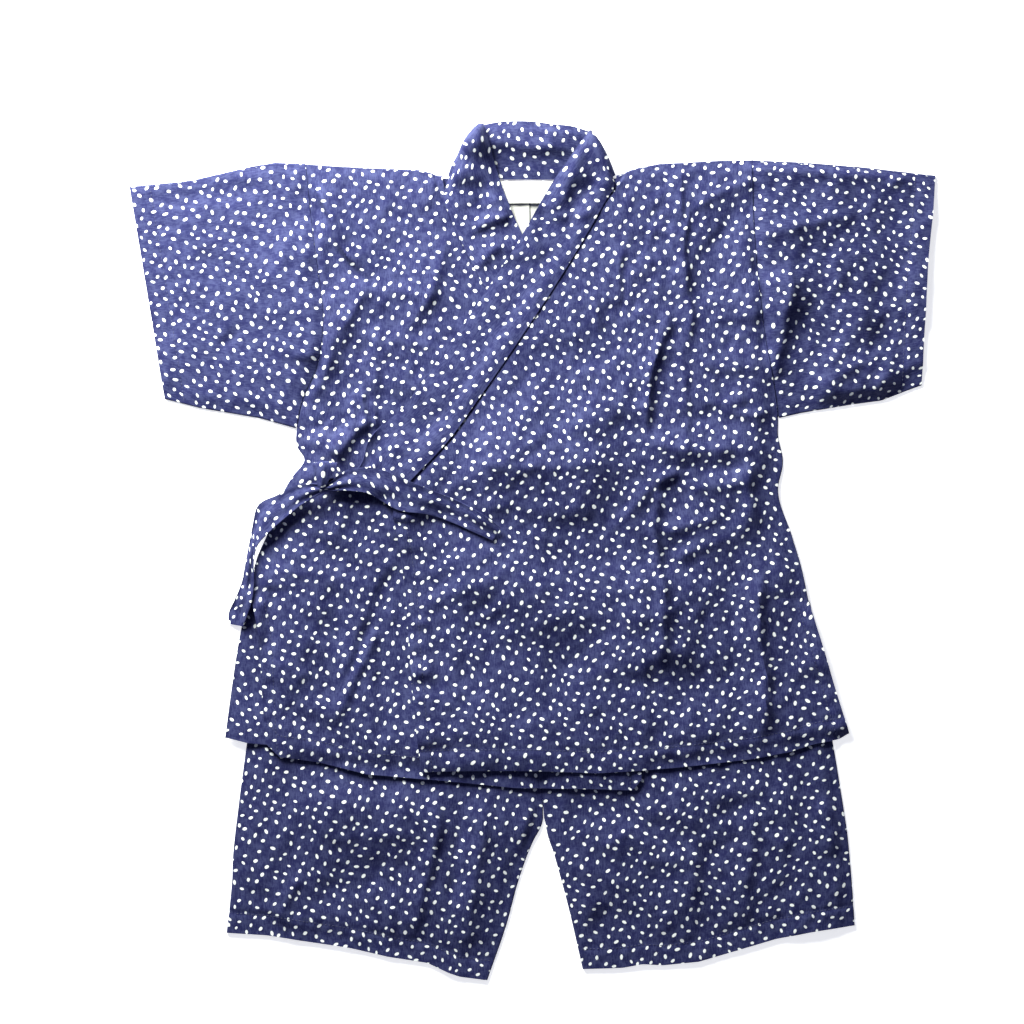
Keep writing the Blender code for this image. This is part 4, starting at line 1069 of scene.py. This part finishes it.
    def lay_label(self, name, left, right, bottom, top):
        """A tape sewn on by its top edge, which curls a little towards its free end."""
        across = np.linspace(left, right, int((right - left) / CELL) + 1)
        down = np.linspace(bottom, top, int((top - bottom) / CELL) + 1)
        xy = np.stack(np.meshgrid(across, down), axis=-1)
        free = smooth((top - xy[..., 1]) / (top - bottom))
        curl = LABEL_CURL * free * (1 - np.cos((xy[..., 0] - left) / 9 + free))
        sheet = raised(xy, self.pile.rest(xy, LAY_GAP, 4, 2) + LABEL_WALL / 2 + curl)
        self.pile.lay(sheet, LABEL_WALL)
        self.sheets[name] = [(sheet, xy)]

    def lay_jacket(self):
        """Backs, back of the band, labels, under front, over front and sleeves, in the order in
        which they lie."""
        backs = {side: self.back_half(side) for side in ("left", "right")}
        to_neck, round_neck = (along(table, self.grid)[1][-1] for table in (BAND_OVER, BAND_BACK))
        gap = FOLD_ROOM - LAY_GAP
        back = self.band_stretch(BAND_BACK, 0, to_neck, tilt=BAND_TILT, crown=0.0)
        for name, box in LABELS.items():
            self.lay_label(name, *box)
        fronts = {"right": self.front_half("right")}
        under = self.band_stretch(BAND_UNDER, gap, to_neck + round_neck)
        fronts["left"] = self.front_half("left")
        over = self.band_stretch(BAND_OVER, gap, 0, gathered=True)
        for side, front in fronts.items():
            self.join_body(side, backs[side], front)
            self.lay_sleeve(side, front)
        self.lay_collar((over, back, under))

    # ------------------------------------------------------------ ties

    def lay_ties(self):
        """Both tails and the knot over them, at one height where they meet."""
        base = self.pile.rest(np.array([[KNOT_X, KNOT_Y]]), LAY_GAP, 14, 4)[0]
        self.lay_tie("tie_over", TIE_OVER, base)
        self.lay_tie("tie_side", TIE_SIDE, base)
        self.lay_knot(base)

    def lay_tie(self, name, table, knot_base):
        """A tie over the pile, at the height of the knot where it runs through it: the table's
        heights, with pleats near the knot, a ripple along it and a soft fold across it."""
        rows, at = along(table, 2.0)
        at = at[:, None]
        share = np.linspace(0, 1, TIE_COLUMNS)[None, :]
        xy = panel(rows[:, 0:2], rows[:, 2:4], share[0])
        away = np.linalg.norm(xy - np.array((KNOT_X, KNOT_Y)), axis=-1)
        near = smooth((22 - away) / 14)
        below = self.pile.rest(xy, 0, 4, 2) * (1 - near) + knot_base * near
        pleat = TIE_PLEAT * smooth((34 - away) / 22) * np.cos(2 * np.pi * 1.6 * (share + 0.1))
        ripple = TIE_RIPPLE * np.sin(at / 6.5) * np.sin(np.pi * share)
        lift, tilt = rows[:, 4:5], rows[:, 5:6]
        tilt = np.maximum(tilt, 0) * (1 - share) + np.maximum(-tilt, 0) * share
        fold = TIE_FOLD * np.cos(2 * np.pi * 1.5 * share + at / 40) * off_ends(share, 6)
        z = below + lift + BAND_WALL / 2 + pleat + ripple + tilt + fold + TIE_LIFT
        coordinates = np.stack((20 * share + 0 * at, at + 0 * share), axis=-1) + PRINT_START[name]
        self.sheets[name] = [(raised(xy, z), coordinates)]

    def lay_knot(self, base):
        """A loop round the tails: a flat ring about an axis along X, narrower towards its foot,
        fullest in its middle, with two creases that run round it."""
        angle = 2 * np.pi * np.arange(KNOT_ROWS) / (KNOT_ROWS - 1)
        angle[-1] = 0
        run = np.linspace(-0.5, 0.5, KNOT_COLUMNS)[None, :]
        c, s = np.cos(angle)[:, None], np.sin(angle)[:, None]
        reach, rise = (np.sign(part) * np.abs(part) ** 0.8 for part in (c, s))
        puff = 1 + KNOT_PUFF * np.cos(2 * np.pi * run)
        crease = 1 + KNOT_CREASE * np.cos(4 * np.pi * run + 1.2 * s)
        half_y, half_z = (KNOT_TOP - KNOT_FOOT - KNOT_WALL) / 2, (KNOT_HEIGHT - KNOT_WALL) / 2
        length = KNOT_NARROW + (KNOT_WIDE - KNOT_NARROW) * smooth(0.5 + 0.5 * reach)
        x = KNOT_X + 1.5 * reach + run * length
        y = (KNOT_TOP + KNOT_FOOT) / 2 + half_y * reach * (0.8 + 0.15 * puff)
        z = base + KNOT_HEIGHT / 2 + half_z * (rise * (0.8 + 0.2 * c)) * puff * crease
        v = KNOT_STEP * np.arange(KNOT_ROWS)[:, None] + 0 * run
        coordinates = np.stack((run * length, v), axis=-1) + PRINT_START["tie_knot"]
        self.sheets["tie_knot"] = [(np.stack((x, y, z), axis=-1), coordinates)]


LAID = {}


def laid_set():
    """The layout for the present settings, worked out once."""
    cloth = bpy.context.scene.jinbei_cloth
    names = ("grid", "hidden_grid", "wall", "rumple", "crease", "seed")
    key = tuple(round(getattr(cloth, name), 7) for name in names)
    if key not in LAID:
        LAID.clear()
        LAID[key] = Layout(cloth)
    return LAID[key]


# ---------------------------------------------------------------- meshes

def quads(number):
    """Corners of the faces between the points of a grid, from the numbers of its points."""
    corners = (number[:-1, :-1], number[:-1, 1:], number[1:, 1:], number[1:, :-1])
    return np.stack(corners, axis=-1).reshape(-1, 4)


def new_mesh(name, points, faces, coordinates=None):
    """A mesh of points in metres and faces of equal size, with the print's coordinates."""
    mesh = bpy.data.meshes.new(name)
    size = faces.shape[1]
    mesh.vertices.add(len(points))
    mesh.vertices.foreach_set("co", np.ascontiguousarray(points, dtype=np.float32).ravel())
    mesh.loops.add(faces.size)
    mesh.loops.foreach_set("vertex_index", faces.ravel().astype(np.int32))
    mesh.polygons.add(len(faces))
    mesh.polygons.foreach_set("loop_start", np.arange(0, faces.size, size, dtype=np.int32))
    mesh.update(calc_edges=True)
    if coordinates is not None:
        layer = mesh.uv_layers.new(name="cloth")
        layer.data.foreach_set("uv", np.ascontiguousarray(coordinates, dtype=np.float32).ravel())
    mesh.validate()
    mesh.shade_smooth()
    return mesh


def new_object(name, data):
    """An object of the scene, at its origin."""
    item = bpy.data.objects.new(name, data)
    bpy.context.scene.collection.objects.link(item)
    return item


def sheet_object(name, grids, wall, material):
    """Grids joined where their edges meet, given the wall of the cloth, with sharp rims. Returns
    the object and the area of the sheet in square metres."""
    points = np.concatenate([part.reshape(-1, 3) for part, _ in grids])
    prints = np.concatenate([part.reshape(-1, 2) for _, part in grids])
    faces, start = [], 0
    for part, _ in grids:
        rows, columns = part.shape[:2]
        faces.append(quads(start + np.arange(rows * columns).reshape(rows, columns)))
        start += rows * columns
    faces = np.concatenate(faces)
    cell = np.round((points + OFF_ROUND) / SAME_POINT).astype(np.int64)
    _, first, same = np.unique(cell, axis=0, return_index=True, return_inverse=True)
    corners = same.reshape(-1)[faces]
    places = (points[first] - BOX_CENTRE) * MM
    diagonals = np.cross(places[corners[:, 2]] - places[corners[:, 0]],
                         places[corners[:, 3]] - places[corners[:, 1]])
    area = 0.5 * np.linalg.norm(diagonals, axis=1).sum()
    mesh = new_mesh(name, places, corners, prints[faces] * MM)
    mesh.materials.append(material)
    item = new_object(name, mesh)
    shell = item.modifiers.new("wall", "SOLIDIFY")
    shell.thickness = wall
    shell.offset = 0.0
    bpy.context.view_layer.update()
    evaluated = item.evaluated_get(bpy.context.evaluated_depsgraph_get())
    finished = bpy.data.meshes.new_from_object(evaluated)
    item.modifiers.clear()
    item.data = finished
    bpy.data.meshes.remove(mesh)
    finished.name = name
    finished.set_sharp_from_angle(angle=SHARP_RIM)
    return item, area


def stitch_object(name, lines, material, lift):
    """Short stitches along lines of points, lifted to the cloth's face: each is a bead that is
    long in its own direction, x = s, radius r(s) = R sqrt(1 - s^4), and sinks into the cloth
    at its ends."""
    centres, ways = [], []
    for line in lines:
        gone = distance_along(line)
        at = np.arange(STITCH_PITCH, gone[-1] - STITCH_PITCH, STITCH_PITCH)
        place, ahead = (np.stack([np.interp(at + step, gone, part) for part in line.T], axis=-1)
                        for step in (0.0, 1.0))
        centres.append(place)
        ways.append(unit(ahead - place))
    centre, way = np.concatenate(centres)[:, None], np.concatenate(ways)[:, None]
    side = unit(np.cross((0.0, 0.0, 1.0), way))
    top = np.cross(way, side)
    rings, sides = 5, 6
    s = np.linspace(-0.97, 0.97, rings)[:, None]
    angle = 2 * np.pi * np.arange(sides) / sides
    thick = STITCH_RADIUS * np.sqrt(1 - s**4)
    sunk = lift + 0.25 * STITCH_RADIUS * (1 - 2 * s**2)
    shape = (s * STITCH_LENGTH / 2 + 0 * angle, thick * np.cos(angle), thick * np.sin(angle) + sunk)
    x, y, z = (part.reshape(1, -1, 1) for part in shape)
    points = centre + x * way + y * side + z * top
    number = np.arange(rings * sides).reshape(rings, sides)
    tube = quads(np.concatenate((number, number[:, :1]), axis=1))
    low, high = number[0], number[-1]
    ends = np.array([low[[0, 3, 2, 1]], low[[0, 5, 4, 3]], high[[0, 1, 2, 3]], high[[0, 3, 4, 5]]])
    one = np.concatenate((tube, ends))[:, ::-1]
    faces = (one + np.arange(len(points))[:, None, None] * rings * sides).reshape(-1, 4)
    mesh = new_mesh(name, (points.reshape(-1, 3) - BOX_CENTRE) * MM, faces)
    mesh.materials.append(material)
    item = new_object(name, mesh)
    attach(item, "root")
    return item


# ---------------------------------------------------------------- materials

def add_node(tree, kind, settings=None, **inputs):
    """A node with its settings and inputs, each a value or the socket that feeds it. An input
    is called i and its number, or its name with _ for each space."""
    node = tree.nodes.new(kind)
    for name, value in (settings or {}).items():
        setattr(node, name, value)
    for name, value in inputs.items():
        key = int(name[1:]) if name[1:].isdigit() else name.replace("_", " ")
        if isinstance(value, bpy.types.NodeSocket):
            tree.links.new(value, node.inputs[key])
        else:
            node.inputs[key].default_value = value
    return node


def maths(tree, operation, *values):
    """One step of arithmetic."""
    inputs = {f"i{number}": value for number, value in enumerate(values)}
    return add_node(tree, "ShaderNodeMath", {"operation": operation}, **inputs).outputs[0]


def vectors(tree, operation, *values):
    """One step of arithmetic on vectors."""
    inputs = {f"i{number}": value for number, value in enumerate(values)}
    node = add_node(tree, "ShaderNodeVectorMath", {"operation": operation}, **inputs)
    return node.outputs["Value" if operation == "LENGTH" else "Vector"]


def noise(tree, place, scale, detail, output=0, dimensions="2D"):
    """An output of a noise texture: its value, or its colour."""
    return add_node(tree, "ShaderNodeTexNoise", {"noise_dimensions": dimensions}, Vector=place,
                    Scale=scale, Detail=detail).outputs[output]


def ramp(tree, value, zero, one, kind="LINEAR"):
    """From 0 at one value to 1 at another."""
    return add_node(tree, "ShaderNodeMapRange", {"interpolation_type": kind}, Value=value,
                    From_Min=zero, From_Max=one, To_Min=0.0, To_Max=1.0).outputs[0]


def blended(tree, share, low, high):
    """A colour between two."""
    return add_node(tree, "ShaderNodeMix", {"data_type": "RGBA"}, i0=share, i6=low,
                    i7=high).outputs[2]


def turned(tree, vector, angle):
    """A vector turned about Z."""
    return add_node(tree, "ShaderNodeVectorRotate", {"rotation_type": "Z_AXIS"},
                    Vector=vector, Angle=angle).outputs[0]


def fresh_material(name):
    """A material with its node tree and its shader."""
    material = bpy.data.materials.get(name) or bpy.data.materials.new(name)
    material.use_nodes = True
    tree = material.node_tree
    tree.nodes.clear()
    shader = add_node(tree, "ShaderNodeBsdfPrincipled")
    output = add_node(tree, "ShaderNodeOutputMaterial", Surface=shader.outputs[0])
    output.is_active_output = True
    return material, tree, shader


def dress(tree, shader, colour, relief=None, **constants):
    """Gives a shader its colour, its relief as (strength, distance, height) and its constants."""
    tree.links.new(colour, shader.inputs["Base Color"])
    if relief:
        strength, distance, height = relief
        bump = add_node(tree, "ShaderNodeBump", Strength=strength, Distance=distance, Height=height)
        tree.links.new(bump.outputs[0], shader.inputs["Normal"])
    for name, value in constants.items():
        shader.inputs[name.replace("_", " ")].default_value = value


def cloth_place(tree):
    """The print's coordinates."""
    return add_node(tree, "ShaderNodeUVMap", {"uv_map": "cloth"}).outputs[0]


def dot_mask(tree, place, settings):
    """1 inside the printed dots and 0 outside. One dot stands in each cell of a jittered
    lattice, which slow noise bends: an ellipse turned by the lean and a chance of the cell."""
    lattice_turn = 0.47
    bend = vectors(tree, "SUBTRACT", noise(tree, place, 24.0, 0.0, "Color"), (0.5, 0.5, 0.5))
    bent_place = vectors(tree, "ADD", place, vectors(tree, "MULTIPLY", bend, (0.007, 0.007, 0.0)))
    lattice = turned(tree, bent_place, lattice_turn)
    cells = add_node(tree, "ShaderNodeTexVoronoi", {"voronoi_dimensions": "2D", "feature": "F1"},
                     Vector=lattice, Scale=1 / settings.pitch, Randomness=0.42).outputs
    chance = add_node(tree, "ShaderNodeSeparateColor", Color=cells["Color"]).outputs
    both = maths(tree, "SUBTRACT", maths(tree, "ADD", chance[0], chance[1]), 1.0)
    angle = maths(tree, "MULTIPLY_ADD", both, 2.45 * settings.spread, settings.lean + lattice_turn)
    from_centre = vectors(tree, "SUBTRACT", lattice, cells["Position"])
    local = turned(tree, from_centre, maths(tree, "MULTIPLY", angle, -1.0))
    scaled = vectors(tree, "DIVIDE", local, (settings.half_length, settings.half_width, 1.0))
    size = maths(tree, "MULTIPLY_ADD", chance[2], 0.26, 0.87)
    reach = maths(tree, "DIVIDE", vectors(tree, "LENGTH", scaled), size)
    edge = maths(tree, "MULTIPLY_ADD", noise(tree, place, 900.0, 1.0), 0.16, reach)
    return ramp(tree, edge, 1.17, 1.0, "SMOOTHSTEP")


def weave_height(tree, place, pitch):
    """Height of a plain weave: the warp is up where sin(u) sin(v) is positive, the weft
    where it is negative."""
    scaled = vectors(tree, "MULTIPLY", place, (np.pi / pitch,) * 3)
    axes = add_node(tree, "ShaderNodeSeparateXYZ", Vector=scaled).outputs
    return maths(tree, "MULTIPLY", maths(tree, "SINE", axes[0]), maths(tree, "SINE", axes[1]))


def printed_cotton():
    """Navy cotton with slubs in its warp and weft, cloudy patches and printed dots."""
    settings = bpy.context.scene.jinbei_print
    material, tree, shader = fresh_material("printed_cotton")
    place = cloth_place(tree)
    weft, warp = (noise(tree, vectors(tree, "MULTIPLY", place, stretch), 1.0, 2.0)
                  for stretch in ((320.0, 1150.0, 1.0), (900.0, 230.0, 1.0)))
    mixed = maths(tree, "MULTIPLY", noise(tree, place, 150.0, 3.0), 0.52)
    mixed = maths(tree, "MULTIPLY_ADD", warp, 0.46, mixed)
    mixed = maths(tree, "MULTIPLY_ADD", weft, 0.22, mixed)
    worn = ramp(tree, mixed, 0.50, 0.71)
    ground = blended(tree, worn, settings.ground, settings.ground_worn)
    colour = blended(tree, dot_mask(tree, place, settings), ground, settings.dots)
    height = maths(tree, "MULTIPLY_ADD", weave_height(tree, place, 0.00045), 0.5, weft)
    dress(tree, shader, colour, (0.45, 0.00006, height), Roughness=0.75, Specular_IOR_Level=0.14,
          Sheen_Weight=0.04, Sheen_Roughness=0.45, Sheen_Tint=(0.75, 0.80, 1.0, 1.0))
    return material


def label_tape(name, tone):
    """White satin tape with fine ribs."""
    material, tree, shader = fresh_material(name)
    place = cloth_place(tree)
    threads = noise(tree, vectors(tree, "MULTIPLY", place, (180.0, 2400.0, 1.0)), 1.0, 2.0)
    white = np.array(bpy.context.scene.jinbei_print.label) * (tone, tone, tone, 1)
    colour = blended(tree, threads, tuple(white * (0.88, 0.88, 0.88, 1)), tuple(white))
    dress(tree, shader, colour, (0.5, 0.00008, weave_height(tree, place, 0.0004)),
          Roughness=0.55, Sheen_Weight=0.1)
    return material


def sewing_thread():
    """Navy thread with a twist."""
    settings = bpy.context.scene.jinbei_print
    material, tree, shader = fresh_material("sewing_thread")
    place = add_node(tree, "ShaderNodeTexCoord").outputs["Object"]
    twist = noise(tree, place, 1800.0, 2.0, dimensions="3D")
    colour = blended(tree, twist, settings.thread, settings.ground_worn)
    dress(tree, shader, colour, (0.6, 0.0001, twist), Roughness=0.6)
    return material


# ---------------------------------------------------------------- pieces

def add_piece(node, flat, held, rests_on, material, wall, slot="printed_cotton"):
    """One sheet of the layout in place of its solid, with the stitches of its hems. Its facts are
    not used."""
    layout = laid_set()
    lines = layout.stitches.get(node)
    stitches = []
    if lines:
        stitches = [stitch_object(node + "_stitches", lines, sewing_thread(), layout.wall / 2)]
    item, area = sheet_object(node + "_cloth", layout.sheets[node], wall, material)
    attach(item, "root")
    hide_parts(node)


def add_cotton(wall, *nodes):
    """Pieces of the printed cotton. Both legs and both sleeves are cut alike."""
    cotton = printed_cotton()
    for node in nodes:
        facts = COTTON_PIECES.get(node) or COTTON_PIECES[node.split("_")[0]]
        add_piece(node, *facts, cotton, wall)
    return {"FINISHED"}


class JINBEI_OT_shorts(bpy.types.Operator):
    """Adds the two legs of the shorts and their gathered waistband"""
    bl_idname = "jinbei.shorts"
    bl_label = "Add Shorts"

    def execute(self, context):
        return add_cotton(context.scene.jinbei_cloth.wall, "leg_right", "leg_left", "waistband")


class JINBEI_OT_jacket(bpy.types.Operator):
    """Adds the two halves of the jacket's body"""
    bl_idname = "jinbei.jacket"
    bl_label = "Add Jacket"

    def execute(self, context):
        return add_cotton(context.scene.jinbei_cloth.wall, "body_right", "body_left")


class JINBEI_OT_sleeves(bpy.types.Operator):
    """Adds the two sleeves"""
    bl_idname = "jinbei.sleeves"
    bl_label = "Add Sleeves"

    def execute(self, context):
        return add_cotton(context.scene.jinbei_cloth.wall, "sleeve_right", "sleeve_left")


class JINBEI_OT_collar(bpy.types.Operator):
    """Adds the collar band, round the neck and down both fronts"""
    bl_idname = "jinbei.collar"
    bl_label = "Add Collar"

    def execute(self, context):
        return add_cotton(context.scene.jinbei_cloth.band_wall, "collar_band")


class JINBEI_OT_labels(bpy.types.Operator):
    """Adds the bare label tapes at the back of the neck"""
    bl_idname = "jinbei.labels"
    bl_label = "Add Labels"

    def execute(self, context):
        neck_tape, care_tape = label_tape("label_tape", 1.0), label_tape("care_tape", CARE_TONE)
        for node, (left, right, bottom, top) in LABELS.items():
            flat = ((right - left) * MM * LABEL_EASE, (top - bottom) * MM * LABEL_EASE)
            tape = neck_tape if node == "neck_label" else care_tape
            add_piece(node, flat, "laid", ["body_left_cloth", "body_right_cloth"], tape,
                      LABEL_WALL * MM, slot="label_tape")
        return {"FINISHED"}


class JINBEI_OT_ties(bpy.types.Operator):
    """Adds the knot at the wearer's right side and its two tails"""
    bl_idname = "jinbei.ties"
    bl_label = "Add Ties"

    def execute(self, context):
        return add_cotton(context.scene.jinbei_cloth.band_wall, "tie_over", "tie_side", "tie_knot")


class JINBEI_OT_stage(bpy.types.Operator):
    """Adds the pale floor, the lamp, the fill light and the camera"""
    bl_idname = "jinbei.stage"
    bl_label = "Add Stage"

    def execute(self, context):
        scene, stage = context.scene, context.scene.jinbei_stage
        corners = 3.0 * np.array(((-1, -1, 0), (1, -1, 0), (1, 1, 0), (-1, 1, 0)))
        mesh = new_mesh("floor", corners, np.array([[0, 1, 2, 3]]))
        material, tree, shader = fresh_material("floor")
        place = add_node(tree, "ShaderNodeTexCoord").outputs["Object"]
        cloud = noise(tree, place, 3.0, 2.0, dimensions="3D")
        darker = (*(0.985 * part for part in stage.floor[:3]), 1.0)
        dress(tree, shader, blended(tree, cloud, darker, stage.floor), Roughness=0.9,
              Emission_Color=stage.floor, Emission_Strength=stage.glow)
        mesh.materials.append(material)
        new_object("floor", mesh)

        lamp_data = bpy.data.lights.new("window", "AREA")
        lamp_data.shape = "SQUARE"
        lamp_data.size = stage.lamp_size
        lamp_data.energy = stage.lamp_power
        lamp_data.color = LAMP_COLOUR
        lamp = new_object("window", lamp_data)
        lamp.location = stage.lamp_place
        lamp.rotation_euler = (-Vector(stage.lamp_place)).to_track_quat("-Z", "Y").to_euler()
        lamp.visible_camera = False

        scene.world = bpy.data.worlds.new("room")
        scene.world.use_nodes = True
        background = scene.world.node_tree.nodes["Background"].inputs
        background["Color"].default_value = FILL_COLOUR
        background["Strength"].default_value = stage.fill

        camera_data = bpy.data.cameras.new("camera")
        camera_data.sensor_width = 36.0
        camera_data.lens = stage.lens
        camera_data.clip_start, camera_data.clip_end = 0.05, 20.0
        height = stage.width * stage.lens / camera_data.sensor_width
        scene.camera = new_object("camera", camera_data)
        scene.camera.location = (*stage.centre, height)
        scene.view_settings.view_transform = "Standard"
        return {"FINISHED"}


class JINBEI_PT_panel(bpy.types.Panel):
    """The set's pieces and settings, in the sidebar of the 3D view"""
    bl_idname = "JINBEI_PT_panel"
    bl_label = "Jinbei Set"
    bl_space_type = "VIEW_3D"
    bl_region_type = "UI"
    bl_category = "Jinbei"

    def draw(self, context):
        for operator in OPERATORS:
            self.layout.operator(operator.bl_idname)
        for group in ("jinbei_cloth", "jinbei_print", "jinbei_stage"):
            settings = getattr(context.scene, group)
            box = self.layout.box()
            for name in settings.__annotations__:
                box.prop(settings, name)


OPERATORS = (
    JINBEI_OT_shorts, JINBEI_OT_jacket, JINBEI_OT_sleeves, JINBEI_OT_collar, JINBEI_OT_labels,
    JINBEI_OT_ties, JINBEI_OT_stage,
)
SETTINGS = {
    "jinbei_cloth": JinbeiClothSettings,
    "jinbei_print": JinbeiPrintSettings,
    "jinbei_stage": JinbeiStageSettings,
}
CLASSES = (*SETTINGS.values(), *OPERATORS, JINBEI_PT_panel)


def register():
    for item in CLASSES:
        bpy.utils.register_class(item)
    for name, group in SETTINGS.items():
        setattr(bpy.types.Scene, name, PointerProperty(type=group))


def unregister():
    for name in SETTINGS:
        delattr(bpy.types.Scene, name)
    for item in reversed(CLASSES):
        bpy.utils.unregister_class(item)


def main():
    """Adds the set and its stage."""
    register()
    bpy.ops.jinbei.shorts()
    bpy.ops.jinbei.jacket()
    bpy.ops.jinbei.sleeves()
    bpy.ops.jinbei.collar()
    bpy.ops.jinbei.labels()
    bpy.ops.jinbei.ties()
    bpy.ops.jinbei.stage()


if __name__ == "__main__":
    main()
